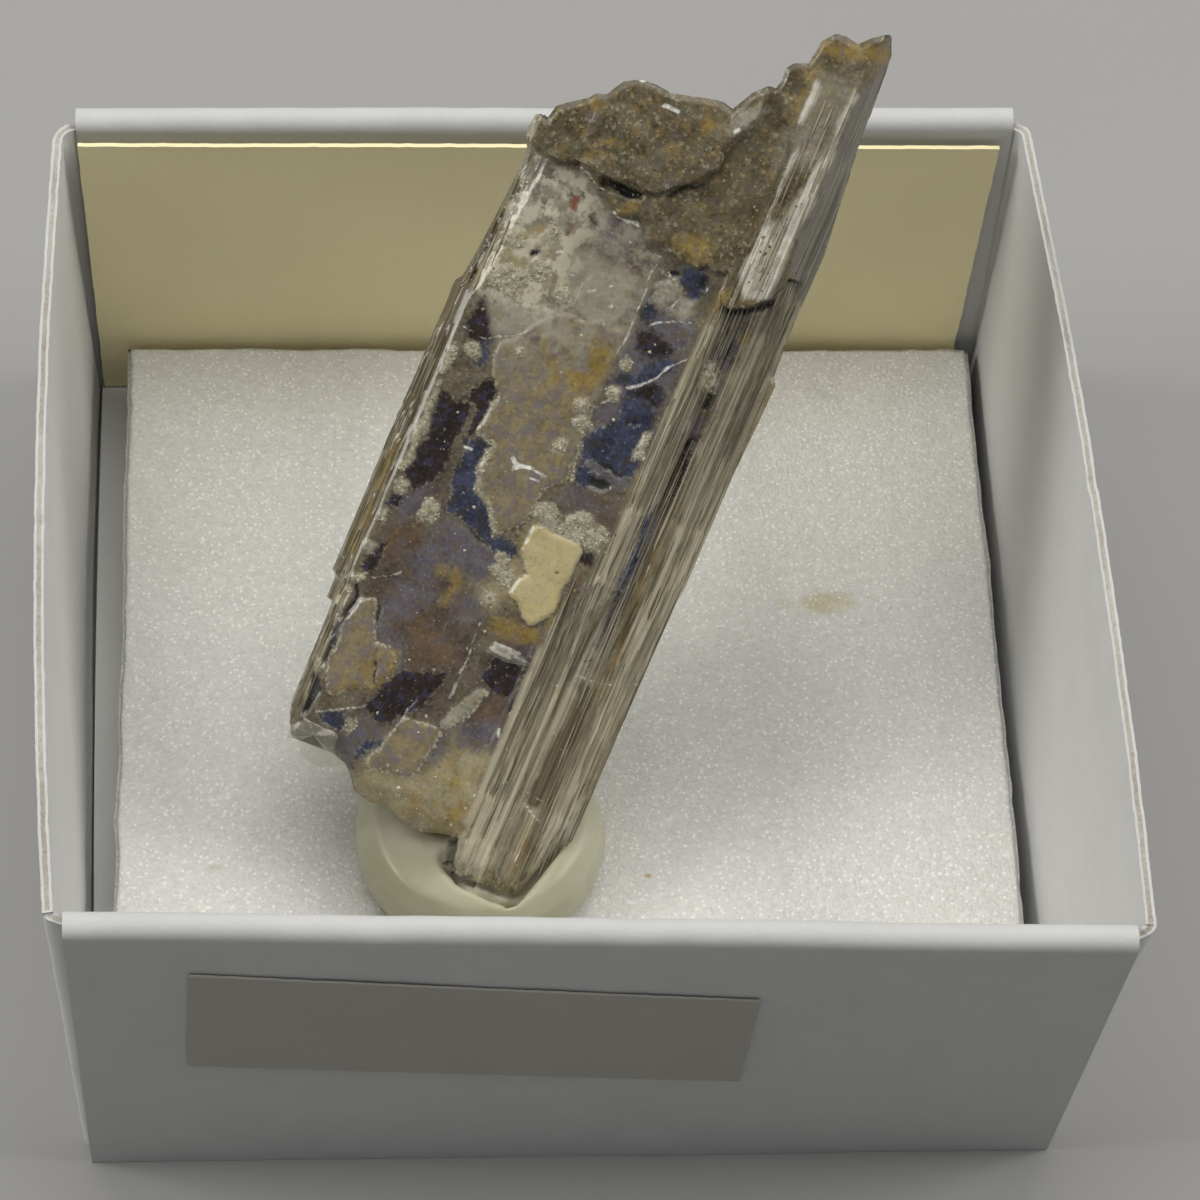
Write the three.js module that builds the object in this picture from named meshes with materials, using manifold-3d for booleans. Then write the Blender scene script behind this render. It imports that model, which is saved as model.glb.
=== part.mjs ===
// A mica crystal mounted in a small open card specimen box, 40 mm square in plan.
// Millimetres, +Z up, -Y is the front of the box, the origin is under the middle of the box.
import * as THREE from 'three';
import { mergeVertices } from 'three/addons/utils/BufferGeometryUtils.js';
import Module from 'manifold-3d';

const wasm = await Module();
wasm.setup();

// ---------- driving dimensions ----------
const boxHeight = 18.5;
const cardThickness = 0.4;
const doubledThickness = 1.2;
const floorThickness = 0.6;
const sideDrop = 0.45;

// Outer corners of the box in plan. The card has sprung a little, so the rim is wider than the
// floor and the front wall is twisted: its right end leans further forward than its left end.
const floorCorners = {
  frontLeft: [-19.6, -19.7],
  frontRight: [19.4, -19.8],
  backLeft: [-19.8, 20.2],
  backRight: [19.2, 20.2],
};
const rimCorners = {
  frontLeft: [-19.65, -19.3],
  frontRight: [20.6, -20.54],
  backLeft: [-20.3, 20.54],
  backRight: [19.3, 20.35],
};

// Outer line of each single-card side wall at the front, the middle and the back.
const leftWall = {
  floor: [[-19.95, -18.6], [-20.5, 0], [-20.65, 19.0]],
  rim: [[-20.45, -18.2], [-21.35, 0], [-21.25, 18.7]],
  corners: {
    floor: [floorCorners.frontLeft, floorCorners.backLeft],
    rim: [rimCorners.frontLeft, rimCorners.backLeft],
  },
};
const rightWall = {
  floor: [[19.75, -18.7], [19.5, 0], [19.6, 19.0]],
  rim: [[21.4, -19.3], [21.15, 0], [20.05, 18.8]],
  corners: {
    floor: [floorCorners.frontRight, floorCorners.backRight],
    rim: [rimCorners.frontRight, rimCorners.backRight],
  },
};

// The foam pad lies on the floor of the box, slightly lower on its right side.
const foam = { left: -18.9, right: 18.95, front: -18.1, back: 18.4, topLeft: 4.25, topRight: 3.75 };
const foamEdgeRound = 0.35;

// The name card stands on the floor of the box against the inside of the back wall.
const nameCard = {
  front: 18.62,
  thickness: 0.25,
  outline: [[-20.05, 0.75], [18.2, 0.75], [18.75, 17.4], [-20.2, 17.85]],
};

// The number label is glued to the outside of the front wall, dropping to the right.
const label = {
  left: -15.05,
  right: 6.65,
  topLeft: 15.55,
  topRight: 13.95,
  bottomLeft: 8.4,
  bottomRight: 7.0,
};
const labelLean = -0.36;
const labelThickness = 0.15;
const labelGap = 0.08;

// The putty is a pressed ball with the foot of the crystal sunk in it.
const putty = { x: -3.7, y: -7.6, radius: 5.25, height: 3.4, bottom: 4.2 };
const puttyClearance = 0.35;

// Place of the crystal: the left corner of its foot, then how it leans.
const crystalFoot = new THREE.Vector3(-11.4, -5.0, 10.6);
const crystalRise = THREE.MathUtils.degToRad(38.1);
const crystalHeading = THREE.MathUtils.degToRad(-29.7);
const crystalRoll = THREE.MathUtils.degToRad(9.25);
const crystalBack = -3.2;

// ---------- helpers ----------
// Turns a closed geometry into a manifold-3d solid, whatever way round it was wound.
function toSolid(geometry) {
  const bare = new THREE.BufferGeometry();
  bare.setAttribute('position', geometry.getAttribute('position').clone());
  if (geometry.index) {
    bare.setIndex(geometry.index.clone());
  }
  const merged = mergeVertices(bare, 1e-4);
  const vertProperties = new Float32Array(merged.getAttribute('position').array);
  const triVerts = new Uint32Array(merged.index.array);
  if (signedVolume(vertProperties, triVerts) < 0) {
    for (let i = 0; i < triVerts.length; i += 3) {
      const second = triVerts[i + 1];
      triVerts[i + 1] = triVerts[i + 2];
      triVerts[i + 2] = second;
    }
  }
  return new wasm.Manifold(new wasm.Mesh({ numProp: 3, vertProperties, triVerts }));
}

function signedVolume(points, triangles) {
  const a = new THREE.Vector3();
  const b = new THREE.Vector3();
  const c = new THREE.Vector3();
  let sum = 0;
  for (let i = 0; i < triangles.length; i += 3) {
    a.fromArray(points, 3 * triangles[i]);
    b.fromArray(points, 3 * triangles[i + 1]);
    c.fromArray(points, 3 * triangles[i + 2]);
    sum += a.dot(b.cross(c)) / 6;
  }
  return sum;
}

function toGeometry(solid) {
  const mesh = solid.getMesh();
  const geometry = new THREE.BufferGeometry();
  geometry.setAttribute('position', new THREE.BufferAttribute(mesh.vertProperties, 3));
  geometry.setIndex(new THREE.BufferAttribute(mesh.triVerts, 1));
  geometry.computeVertexNormals();
  return geometry;
}

// Closed skin through a row of rings, each a list of the same number of points round a convex outline.
function loft(rings) {
  const count = rings[0].length;
  const triangles = [];
  for (let r = 0; r < rings.length - 1; r += 1) {
    for (let i = 0; i < count; i += 1) {
      const next = (i + 1) % count;
      const here = r * count;
      const there = here + count;
      triangles.push(here + i, here + next, there + next);
      triangles.push(here + i, there + next, there + i);
    }
  }
  const last = (rings.length - 1) * count;
  for (let i = 1; i < count - 1; i += 1) {
    triangles.push(0, i + 1, i);
    triangles.push(last, last + i, last + i + 1);
  }
  const geometry = new THREE.BufferGeometry();
  geometry.setAttribute('position', new THREE.Float32BufferAttribute(rings.flat(2), 3));
  geometry.setIndex(triangles);
  return geometry;
}

function mix(from, to, share) {
  return from.map((value, i) => value + (to[i] - value) * share);
}

// Curve through three plan points at shares 0, 1/2 and 1.
function throughThree(points, share) {
  const first = (1 - share) * (1 - 2 * share);
  const middle = 4 * share * (1 - share);
  const last = share * (2 * share - 1);
  return [0, 1].map((i) => first * points[0][i] + middle * points[1][i] + last * points[2][i]);
}

function extrudeUp(outline, bottom, top) {
  const shape = new THREE.Shape(outline.map(([x, y]) => new THREE.Vector2(x, y)));
  const geometry = new THREE.ExtrudeGeometry(shape, { depth: top - bottom, bevelEnabled: false });
  return geometry.translate(0, 0, bottom);
}

// Extrudes an outline drawn in X and Z from the front towards the back.
function extrudeBack(outline, front, back) {
  const shape = new THREE.Shape(outline.map(([x, z]) => new THREE.Vector2(x, z)));
  const geometry = new THREE.ExtrudeGeometry(shape, { depth: back - front, bevelEnabled: false });
  return geometry.rotateX(Math.PI / 2).translate(0, back, 0);
}

function addMesh(parent, name, geometry, color, roughness) {
  const material = new THREE.MeshStandardMaterial({ color, roughness, metalness: 0 });
  const mesh = new THREE.Mesh(geometry, material);
  mesh.name = name;
  parent.add(mesh);
  return mesh;
}

// ---------- card box ----------
// A doubled wall: two layers of card with the fold rolled over at the top.
function doubledWall(floorFrom, floorTo, rimFrom, rimTo, inward) {
  const radius = doubledThickness / 2;
  const profile = [[0, 0], [doubledThickness, 0], [doubledThickness, boxHeight - radius]];
  const foldSteps = 8;
  for (let i = 1; i <= foldSteps; i += 1) {
    const turn = (Math.PI * i) / foldSteps;
    profile.push([radius + radius * Math.cos(turn), boxHeight - radius + radius * Math.sin(turn)]);
  }
  const stations = 14;
  const rings = [];
  for (let i = 0; i <= stations; i += 1) {
    const low = mix(floorFrom, floorTo, i / stations);
    const high = mix(rimFrom, rimTo, i / stations);
    rings.push(profile.map(([depth, height]) => {
      const [x, y] = mix(low, high, height / boxHeight);
      return [x, y + inward * depth, height];
    }));
  }
  return toSolid(loft(rings));
}

// A single-card side wall. Each end bends round the corner and tucks in between the two layers of
// the doubled wall beside it.
function sideWall(wall, inward) {
  const tabReach = 0.6;
  const cornerSteps = 5;
  const stations = 14;
  const half = doubledThickness / 2;
  const bendLine = (points, corners, share) => {
    const start = throughThree(points, share);
    const corner = corners[share];
    const end = [corner[0] + inward * tabReach, corner[1] + (share === 0 ? half : -half)];
    return (turn) => [
      start[0] + (end[0] - start[0]) * (1 - Math.cos(turn)),
      start[1] + (end[1] - start[1]) * Math.sin(turn),
    ];
  };
  const bend = (share) => {
    const low = bendLine(wall.floor, wall.corners.floor, share);
    const high = bendLine(wall.rim, wall.corners.rim, share);
    const turns = Array.from({ length: cornerSteps + 1 }, (_, i) => (Math.PI / 2) * (i / cornerSteps));
    return turns.map((turn) => ({ low: low(turn), high: high(turn) }));
  };
  const lines = bend(0).reverse();
  for (let i = 1; i < stations; i += 1) {
    const share = i / stations;
    lines.push({ low: throughThree(wall.floor, share), high: throughThree(wall.rim, share) });
  }
  lines.push(...bend(1));
  const top = boxHeight - sideDrop;
  const inner = (key, i) => {
    const before = lines[Math.max(i - 1, 0)][key];
    const after = lines[Math.min(i + 1, lines.length - 1)][key];
    const run = new THREE.Vector2(after[0] - before[0], after[1] - before[1]).normalize();
    const point = lines[i][key];
    return [point[0] + inward * run.y * cardThickness, point[1] - inward * run.x * cardThickness];
  };
  const rings = lines.map(({ low, high }, i) => [
    [...low, 0],
    [...inner('low', i), 0],
    [...inner('high', i), top],
    [...high, top],
  ]);
  return toSolid(loft(rings));
}

function boxFloor() {
  const { frontLeft, frontRight, backLeft, backRight } = floorCorners;
  const outline = [
    frontLeft, frontRight, rightWall.floor[0], rightWall.floor[1], rightWall.floor[2],
    backRight, backLeft, leftWall.floor[2], leftWall.floor[1], leftWall.floor[0],
  ];
  return toSolid(extrudeUp(outline, 0, floorThickness));
}

function cardBox() {
  const low = floorCorners;
  const high = rimCorners;
  return boxFloor()
    .add(doubledWall(low.frontLeft, low.frontRight, high.frontLeft, high.frontRight, 1))
    .add(doubledWall(low.backLeft, low.backRight, high.backLeft, high.backRight, -1))
    .add(sideWall(leftWall, 1))
    .add(sideWall(rightWall, -1));
}

// ---------- foam pad ----------
function foamPad() {
  const { left, right, front, back, topLeft, topRight } = foam;
  const bottom = floorThickness + 0.02;
  const round = foamEdgeRound;
  const outline = [
    [left, bottom], [right, bottom], [right, topRight - round], [right - round, topRight],
    [left + round, topLeft], [left, topLeft - round],
  ];
  return extrudeBack(outline, front, back);
}

// ---------- number label ----------
// Outer face of the front wall at a place across the front and a height.
function frontFace(x, height) {
  const share = height / boxHeight;
  const left = mix(floorCorners.frontLeft, rimCorners.frontLeft, share);
  const right = mix(floorCorners.frontRight, rimCorners.frontRight, share);
  return left[1] + ((right[1] - left[1]) * (x - left[0])) / (right[0] - left[0]);
}

function numberLabel() {
  const stations = 10;
  const rings = [];
  for (let i = 0; i <= stations; i += 1) {
    const share = i / stations;
    const x = label.left + (label.right - label.left) * share;
    const low = label.bottomLeft + (label.bottomRight - label.bottomLeft) * share;
    const high = label.topLeft + (label.topRight - label.topLeft) * share;
    const back = (height) => frontFace(x, height) - labelGap;
    rings.push([
      [x + labelLean, back(low), low],
      [x + labelLean, back(low) - labelThickness, low],
      [x, back(high) - labelThickness, high],
      [x, back(high), high],
    ]);
  }
  return loft(rings);
}

// ---------- mica crystal ----------
// The crystal is a book of sheets. Each packet of sheets has its own outline, drawn across and along
// the book, and the packets step down like stairs to the right. Heights are measured from the broad face.
const packets = [
  {
    name: 'back',
    from: crystalBack,
    to: -2.3,
    outline: [
      [0.3, 0.2], [3.4, -1.0], [6.5, -1.8], [8.4, -2.9], [11.0, -2.9], [11.8, -1.6], [12.1, 6.0],
      [12.3, 14.0], [12.3, 24.0], [11.6, 31.5], [10.6, 32.6], [8.6, 31.2], [7.2, 28.8], [3.3, 28.4],
      [0.9, 26.6], [0.2, 24.8], [0.1, 12.0],
    ],
  },
  {
    name: 'widest',
    from: -2.35,
    to: -1.4,
    outline: [
      [-0.1, -0.4], [0.3, -1.0], [2.0, -0.7], [3.3, -1.5], [4.1, -2.2], [5.4, -1.9], [6.7, -2.4],
      [7.6, -2.4], [8.6, -3.4], [10.3, -3.5], [11.2, -3.4], [11.8, -2.3], [11.9, -0.5], [12.2, 0.3],
      [12.3, 6.4], [12.5, 12.9], [12.7, 19.9], [12.4, 22.9], [12.4, 26.2], [12.1, 29.5], [11.9, 31.7],
      [11.8, 33.8], [11.5, 34.4], [10.3, 33.7], [9.2, 33.2], [8.4, 31.7], [7.6, 30.4], [7.0, 29.3],
      [5.4, 29.2], [3.1, 29.0], [1.9, 27.9], [1.0, 27.2], [-0.2, 25.8], [-0.2, 22.3], [-0.7, 18.7],
      [-0.9, 5.8], [-0.4, 4.8], [-0.4, 0.5],
    ],
  },
  {
    name: 'second step',
    from: -1.45,
    to: -0.9,
    outline: [
      [0.0, -0.3], [2.0, -0.6], [3.3, -1.4], [4.1, -2.1], [5.4, -1.8], [6.7, -2.3], [7.6, -2.3],
      [8.6, -3.3], [10.3, -3.4], [10.9, -2.4], [11.2, 1.5], [11.6, 4.0], [11.4, 9.5], [11.8, 13.0],
      [11.6, 20.0], [11.9, 23.0], [11.7, 28.0], [11.6, 33.7], [11.4, 34.2], [10.3, 33.6], [9.2, 33.1],
      [8.4, 31.6], [7.6, 30.3], [7.0, 29.2], [3.1, 28.9], [1.9, 27.8], [0.2, 25.6], [0.1, 19.0],
      [-0.2, 17.5], [-0.3, 6.5], [0.0, 5.0],
    ],
  },
  {
    name: 'first step',
    from: -0.95,
    to: -0.45,
    outline: [
      [0.2, -0.2], [2.0, -0.5], [3.3, -1.3], [4.1, -2.0], [5.4, -1.7], [6.7, -2.2], [7.6, -2.2],
      [8.6, -3.1], [9.9, -3.2], [10.1, 1.0], [9.8, 5.0], [10.6, 5.6], [10.4, 12.0], [10.7, 19.5],
      [10.3, 20.2], [10.6, 25.0], [10.9, 33.6], [10.3, 33.5], [9.2, 33.0], [8.4, 31.5], [7.6, 30.2],
      [7.0, 29.1], [3.1, 28.8], [1.9, 27.7], [0.5, 25.6], [0.3, 12.0],
    ],
  },
  {
    name: 'broad face',
    from: -0.5,
    to: 0,
    outline: [
      [0.5, 0.0], [2.0, -0.4], [3.3, -1.2], [4.1, -1.9], [5.4, -1.6], [6.7, -2.1], [7.4, -2.1],
      [8.3, -2.9], [8.7, -2.0], [8.4, 4.0], [8.9, 9.0], [8.2, 9.6], [8.5, 16.0], [8.0, 21.0],
      [9.0, 25.0], [10.2, 33.2], [9.2, 32.9], [8.4, 31.4], [7.6, 30.1], [6.9, 29.0], [3.1, 28.7],
      [1.9, 27.6], [0.8, 25.6], [0.6, 12.0],
    ],
  },
  {
    name: 'torn upper plate',
    from: -0.05,
    to: 0.45,
    outline: [
      [2.0, 24.9], [3.6, 24.1], [4.2, 23.6], [5.7, 23.7], [7.4, 22.8], [8.8, 23.4], [9.6, 25.0],
      [10.3, 32.6], [9.4, 32.5], [8.6, 31.0], [7.8, 29.8], [6.8, 28.6], [3.2, 28.4], [2.2, 27.4],
    ],
  },
  {
    name: 'small top plate',
    from: 0.4,
    to: 0.85,
    outline: [
      [4.9, 24.8], [6.0, 25.4], [6.8, 26.2], [7.3, 28.2], [8.1, 29.8], [8.9, 30.9], [9.6, 32.1],
      [9.9, 31.6], [9.3, 25.6], [8.2, 24.2], [6.2, 24.3],
    ],
  },
];

function crystalSolid() {
  const solids = packets.map(({ from, to, outline }) => toSolid(extrudeUp(outline, from, to)));
  return solids.reduce((whole, solid) => whole.add(solid));
}

// ---------- putty ----------
// The room that the foot takes out of the putty, open towards the broad face of the crystal.
function footRoom() {
  const outline = [
    [-1.3, -1.4], [2.0, -1.8], [4.0, -2.9], [7.4, -3.2], [8.4, -4.2], [11.6, -4.1], [12.4, -2.6],
    [12.9, 12.0], [-1.3, 12.0],
  ];
  const openTop = 9;
  return toSolid(extrudeUp(outline, crystalBack - puttyClearance, openTop));
}

function puttyBlob(placement) {
  const { x, y, radius, height, bottom } = putty;
  const profile = [
    [0, 0], [0.93, 0], [0.99, 0.16], [1, 0.36], [0.96, 0.6], [0.84, 0.8], [0.6, 0.94], [0.3, 1], [0, 1],
  ].map(([out, up]) => new THREE.Vector2(out * radius, up * height));
  const blob = new THREE.LatheGeometry(profile, 44).rotateX(Math.PI / 2).translate(x, y, bottom);
  return toSolid(blob).subtract(footRoom().transform(placement.elements));
}

// ---------- scene ----------
const specimen = new THREE.Group();

const crystal = addMesh(specimen, 'mica_crystal', toGeometry(crystalSolid()), 0x8a8272, 0.35);
crystal.position.copy(crystalFoot);
crystal.rotation.set(crystalRise, crystalRoll, crystalHeading, 'ZXY');
crystal.updateMatrix();

addMesh(specimen, 'mounting_putty', toGeometry(puttyBlob(crystal.matrix)), 0xa5a284, 0.35);
addMesh(specimen, 'foam_pad', foamPad(), 0xd8d5c8, 0.9);
addMesh(specimen, 'card_box', toGeometry(cardBox()), 0xd2d3d0, 0.8);

const { front, thickness, outline } = nameCard;
addMesh(specimen, 'name_card', extrudeBack(outline, front, front + thickness), 0xb3a878, 0.85);
addMesh(specimen, 'number_label', toGeometry(toSolid(numberLabel())), 0xc9c0a8, 0.8);

export default specimen;
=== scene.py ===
import itertools
import math

import bpy
import numpy as np
from mathutils import Matrix, Vector


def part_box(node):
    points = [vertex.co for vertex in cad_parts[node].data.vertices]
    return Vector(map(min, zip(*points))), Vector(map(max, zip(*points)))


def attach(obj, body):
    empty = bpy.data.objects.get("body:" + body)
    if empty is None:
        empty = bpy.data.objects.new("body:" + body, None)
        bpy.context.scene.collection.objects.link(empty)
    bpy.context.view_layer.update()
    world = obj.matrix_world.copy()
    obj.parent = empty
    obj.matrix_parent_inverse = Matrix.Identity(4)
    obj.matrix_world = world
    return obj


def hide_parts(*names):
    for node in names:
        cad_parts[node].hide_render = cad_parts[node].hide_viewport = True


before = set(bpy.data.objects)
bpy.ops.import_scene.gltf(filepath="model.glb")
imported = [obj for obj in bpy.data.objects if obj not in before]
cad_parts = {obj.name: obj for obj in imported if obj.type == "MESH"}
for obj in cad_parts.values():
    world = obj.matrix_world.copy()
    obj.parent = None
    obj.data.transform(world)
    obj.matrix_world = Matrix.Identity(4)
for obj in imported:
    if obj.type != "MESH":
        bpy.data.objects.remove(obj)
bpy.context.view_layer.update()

MM = 0.001


# ---------------------------------------------------------------- the table, the light and the camera
# A plain pale table top under the box, a large soft lamp above and behind it
# and a smaller one on either side. None of these belongs to the object.
def node(tree, kind, sockets=None, **settings):
    """Adds one shader node, sets it up, and fills its sockets with values or links."""
    made = tree.nodes.new("ShaderNode" + kind)
    for name, value in settings.items():
        setattr(made, name, value)
    for key, value in (sockets or {}).items():
        if isinstance(value, bpy.types.NodeSocket):
            tree.links.new(value, made.inputs[key])
        else:
            made.inputs[key].default_value = value
    return made


def new_material(name):
    """An empty material without nodes, and its node tree."""
    material = bpy.data.materials.new(name)
    material.use_nodes = True
    material.node_tree.nodes.clear()
    return material, material.node_tree


def finish_with(tree, surface):
    """Joins the last shader to the material's output."""
    output = tree.nodes.new("ShaderNodeOutputMaterial")
    tree.links.new(surface, output.inputs["Surface"])


table_material, tree = new_material("pale_table")
table_grain = node(tree, "TexNoise", {"Scale": 60.0, "Detail": 4.0})
table_colour = node(tree, "Mix", {
    0: table_grain.outputs[0], 6: (0.335, 0.33, 0.322, 1), 7: (0.36, 0.355, 0.345, 1),
}, data_type="RGBA")
table_shader = node(tree, "BsdfPrincipled", {
    "Base Color": table_colour.outputs[2], "Roughness": 0.8,
})
finish_with(tree, table_shader.outputs[0])

bpy.ops.object.select_all(action="DESELECT")
bpy.ops.mesh.primitive_plane_add(size=3, location=(0, 0, -0.02 * MM))
table = bpy.context.object
table.name = "table_top"
table.data.materials.append(table_material)


LAMP_AIM = Vector((0, 0, 0.01))
LAMP_WHITE = (1.0, 0.985, 0.95)


def soft_lamp(name, place, width, power):
    """A square area lamp that faces the middle of the box."""
    data = bpy.data.lights.new(name, "AREA")
    data.size = width
    data.energy = power
    data.color = LAMP_WHITE
    lamp = bpy.data.objects.new(name, data)
    bpy.context.scene.collection.objects.link(lamp)
    lamp.location = place
    lamp.rotation_euler = (LAMP_AIM - Vector(place)).to_track_quat("-Z", "Y").to_euler()


soft_lamp("lamp_above", (0.0, 0.17, 0.42), 0.44, 1.12)
soft_lamp("lamp_left", (-0.36, 0.02, 0.27), 0.2, 1.0)
soft_lamp("lamp_right", (0.36, 0.02, 0.27), 0.2, 0.95)

world = bpy.data.worlds.new("studio_air")
bpy.context.scene.world = world
world.use_nodes = True
world.node_tree.nodes["Background"].inputs[0].default_value = (0.9, 0.95, 1.0, 1)
world.node_tree.nodes["Background"].inputs[1].default_value = 0.13
bpy.context.scene.view_settings.view_transform = "Standard"

camera_data = bpy.data.cameras.new("camera")
camera_data.lens = 132.14
camera_data.sensor_width = 36
camera_data.clip_start = 0.01
camera_data.clip_end = 10
camera = bpy.data.objects.new("camera", camera_data)
bpy.context.scene.collection.objects.link(camera)
camera_turn = (
    Matrix.Rotation(math.radians(-5.27), 4, "Z")
    @ Matrix.Rotation(math.radians(90 - 56.70), 4, "X")
    @ Matrix.Rotation(math.radians(3.88), 4, "Z")
)
camera.matrix_world = Matrix.Translation(Vector((-7.811, -99.054, 162.659)) * MM) @ camera_turn
bpy.context.scene.camera = camera


# ---------------------------------------------------------------- card box: rolled front and back walls
# The box is one sheet of white-lined card. The front and back flaps are folded over at the top, so the
# fold makes a soft round rim, and are glued down on their own inside.
BOX_HEIGHT = 18.5 * MM
CARD = 0.4 * MM
DOUBLED = 1.2 * MM
FRONT_LEFT, FRONT_RIGHT = ((-19.6, -19.7), (-19.65, -19.3)), ((19.4, -19.8), (20.6, -20.54))
BACK_LEFT, BACK_RIGHT = ((-19.8, 20.2), (-20.3, 20.54)), ((19.2, 20.2), (19.3, 20.35))


def drift(points, size, seed):
    """Smooth random values from -1 to 1 at these points, in blotches of about this size."""
    spot = np.asarray(points) / size + seed * 17.31
    cell = np.floor(spot)
    ease = spot - cell
    ease = ease * ease * (3 - 2 * ease)
    stride = np.array([127.1, 311.7, 74.7])[: spot.shape[1]]
    total = np.zeros(len(spot))
    for corner in itertools.product((0, 1), repeat=spot.shape[1]):
        value = np.sin((cell + corner) @ stride + seed) * 43758.5453
        weight = np.prod(np.where(corner, ease, 1 - ease), axis=1)
        total += weight * (value - np.floor(value))
    return 2 * total - 1


def reshape(piece, change):
    """Moves every corner point of a mesh to where a function of their places puts them."""
    points = np.empty(len(piece.data.vertices) * 3)
    piece.data.vertices.foreach_get("co", points)
    moved = change(points.reshape(-1, 3))
    piece.data.vertices.foreach_set("co", np.ascontiguousarray(moved).ravel())
    piece.data.update()


def start_piece(name):
    """Names the primitive that was just added and opens it in edit mode."""
    piece = bpy.context.object
    piece.name = name
    bpy.ops.object.mode_set(mode="EDIT")
    return piece


def unit_grid(name, columns, rows):
    """A grid from 0 to 1 in x and y, left in edit mode."""
    bpy.ops.object.select_all(action="DESELECT")
    bpy.ops.mesh.primitive_grid_add(x_subdivisions=columns, y_subdivisions=rows, size=1)
    piece = start_piece(name)
    bpy.ops.transform.translate(value=(0.5, 0.5, 0))
    return piece


def face_outwards():
    """In edit mode, turns every face outwards, and goes back to object mode."""
    bpy.ops.mesh.select_all(action="SELECT")
    bpy.ops.mesh.normals_make_consistent(inside=False)
    bpy.ops.object.mode_set(mode="OBJECT")


def select_places(piece, kind, test):
    """In edit mode, selects the points, edges or faces whose middle passes the test."""
    bpy.ops.mesh.select_all(action="DESELECT")
    bpy.ops.mesh.select_mode(type=kind)
    bpy.ops.object.mode_set(mode="OBJECT")
    mesh = piece.data
    for item in {"VERT": mesh.vertices, "EDGE": mesh.edges, "FACE": mesh.polygons}[kind]:
        if kind == "VERT":
            middle = item.co
        elif kind == "EDGE":
            middle = (mesh.vertices[item.vertices[0]].co + mesh.vertices[item.vertices[1]].co) / 2
        else:
            middle = item.center
        item.select = bool(test(middle))
    bpy.ops.object.mode_set(mode="EDIT")


def thicken(piece, thickness, rim_material=0):
    """Gives a sheet its thickness, inwards from its outer face."""
    solid = piece.modifiers.new("thickness", "SOLIDIFY")
    solid.thickness = thickness
    solid.offset = -1
    solid.use_even_offset = False
    solid.material_offset_rim = rim_material
    bpy.context.view_layer.objects.active = piece
    bpy.ops.object.modifier_apply(modifier=solid.name)


def paper_fibres():
    """Shader group: the felted look of paper, as a mottle from 0 to 1 and a height for the bump."""
    group = bpy.data.node_groups.new("paper_fibres", "ShaderNodeTree")
    group.interface.new_socket("Vector", in_out="INPUT", socket_type="NodeSocketVector")
    group.interface.new_socket("Scale", in_out="INPUT", socket_type="NodeSocketFloat")
    group.interface.new_socket("Mottle", in_out="OUTPUT", socket_type="NodeSocketFloat")
    group.interface.new_socket("Height", in_out="OUTPUT", socket_type="NodeSocketFloat")
    start = group.nodes.new("NodeGroupInput")
    end = group.nodes.new("NodeGroupOutput")
    cloud = node(group, "TexNoise", {
        "Vector": start.outputs[0], "Scale": 350.0, "Detail": 5.0, "Roughness": 0.6,
    })
    warp = node(group, "VectorMath", {
        0: cloud.outputs[1], 1: (0.0006, 0.0006, 0.0006), 2: start.outputs[0],
    }, operation="MULTIPLY_ADD")
    fibre = node(group, "TexNoise", {
        "Vector": warp.outputs[0], "Scale": start.outputs[1], "Detail": 6.0, "Roughness": 0.7,
        "Distortion": 1.2,
    })
    blend = node(group, "Math", {0: cloud.outputs[0], 1: fibre.outputs[0]}, operation="ADD")
    half = node(group, "Math", {0: blend.outputs[0], 1: 0.5}, operation="MULTIPLY")
    group.links.new(half.outputs[0], end.inputs[0])
    group.links.new(fibre.outputs[0], end.inputs[1])
    return group


PAPER_FIBRES = paper_fibres()


def paper_material(name, dark, light, scale, bump, specks=None):
    """Paper or card of one colour, with its mottle and fibres, and dark specks of dust if asked for."""
    material, tree = new_material(name)
    place = node(tree, "TexCoord").outputs["Object"]
    paper = node(tree, "Group", node_tree=PAPER_FIBRES)
    tree.links.new(place, paper.inputs["Vector"])
    paper.inputs["Scale"].default_value = scale
    spread = node(tree, "MapRange", {0: paper.outputs["Mottle"], 1: 0.3, 2: 0.7})
    colour = node(tree, "Mix", {0: spread.outputs[0], 6: dark, 7: light}, data_type="RGBA")
    last = colour.outputs[2]
    if specks:
        dust = node(tree, "TexVoronoi", {"Vector": place, "Scale": 420.0})
        small = node(tree, "Math", {0: dust.outputs["Distance"], 1: 0.075}, operation="LESS_THAN")
        pick = node(tree, "SeparateColor", {0: dust.outputs["Color"]})
        rare = node(tree, "Math", {0: pick.outputs[0], 1: specks}, operation="LESS_THAN")
        both = node(tree, "Math", {0: small.outputs[0], 1: rare.outputs[0]}, operation="MULTIPLY")
        soiled = node(tree, "Mix", {0: both.outputs[0], 6: last, 7: (0.30, 0.27, 0.22, 1)},
                      data_type="RGBA")
        last = soiled.outputs[2]
    relief = node(tree, "Bump", {"Height": paper.outputs["Height"], "Strength": bump,
                                 "Distance": 0.05 * MM})
    shader = node(tree, "BsdfPrincipled", {
        "Base Color": last, "Roughness": 0.62, "Normal": relief.outputs[0],
    })
    shader.inputs["Specular IOR Level"].default_value = 0.35
    finish_with(tree, shader.outputs[0])
    return material


white_card = paper_material(
    "white_card", (0.57, 0.57, 0.565, 1), (0.63, 0.63, 0.625, 1), 2600.0, 0.35, specks=0.05)
card_core = paper_material(
    "card_core", (0.26, 0.22, 0.165, 1), (0.62, 0.595, 0.54, 1), 5200.0, 0.9)


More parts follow.
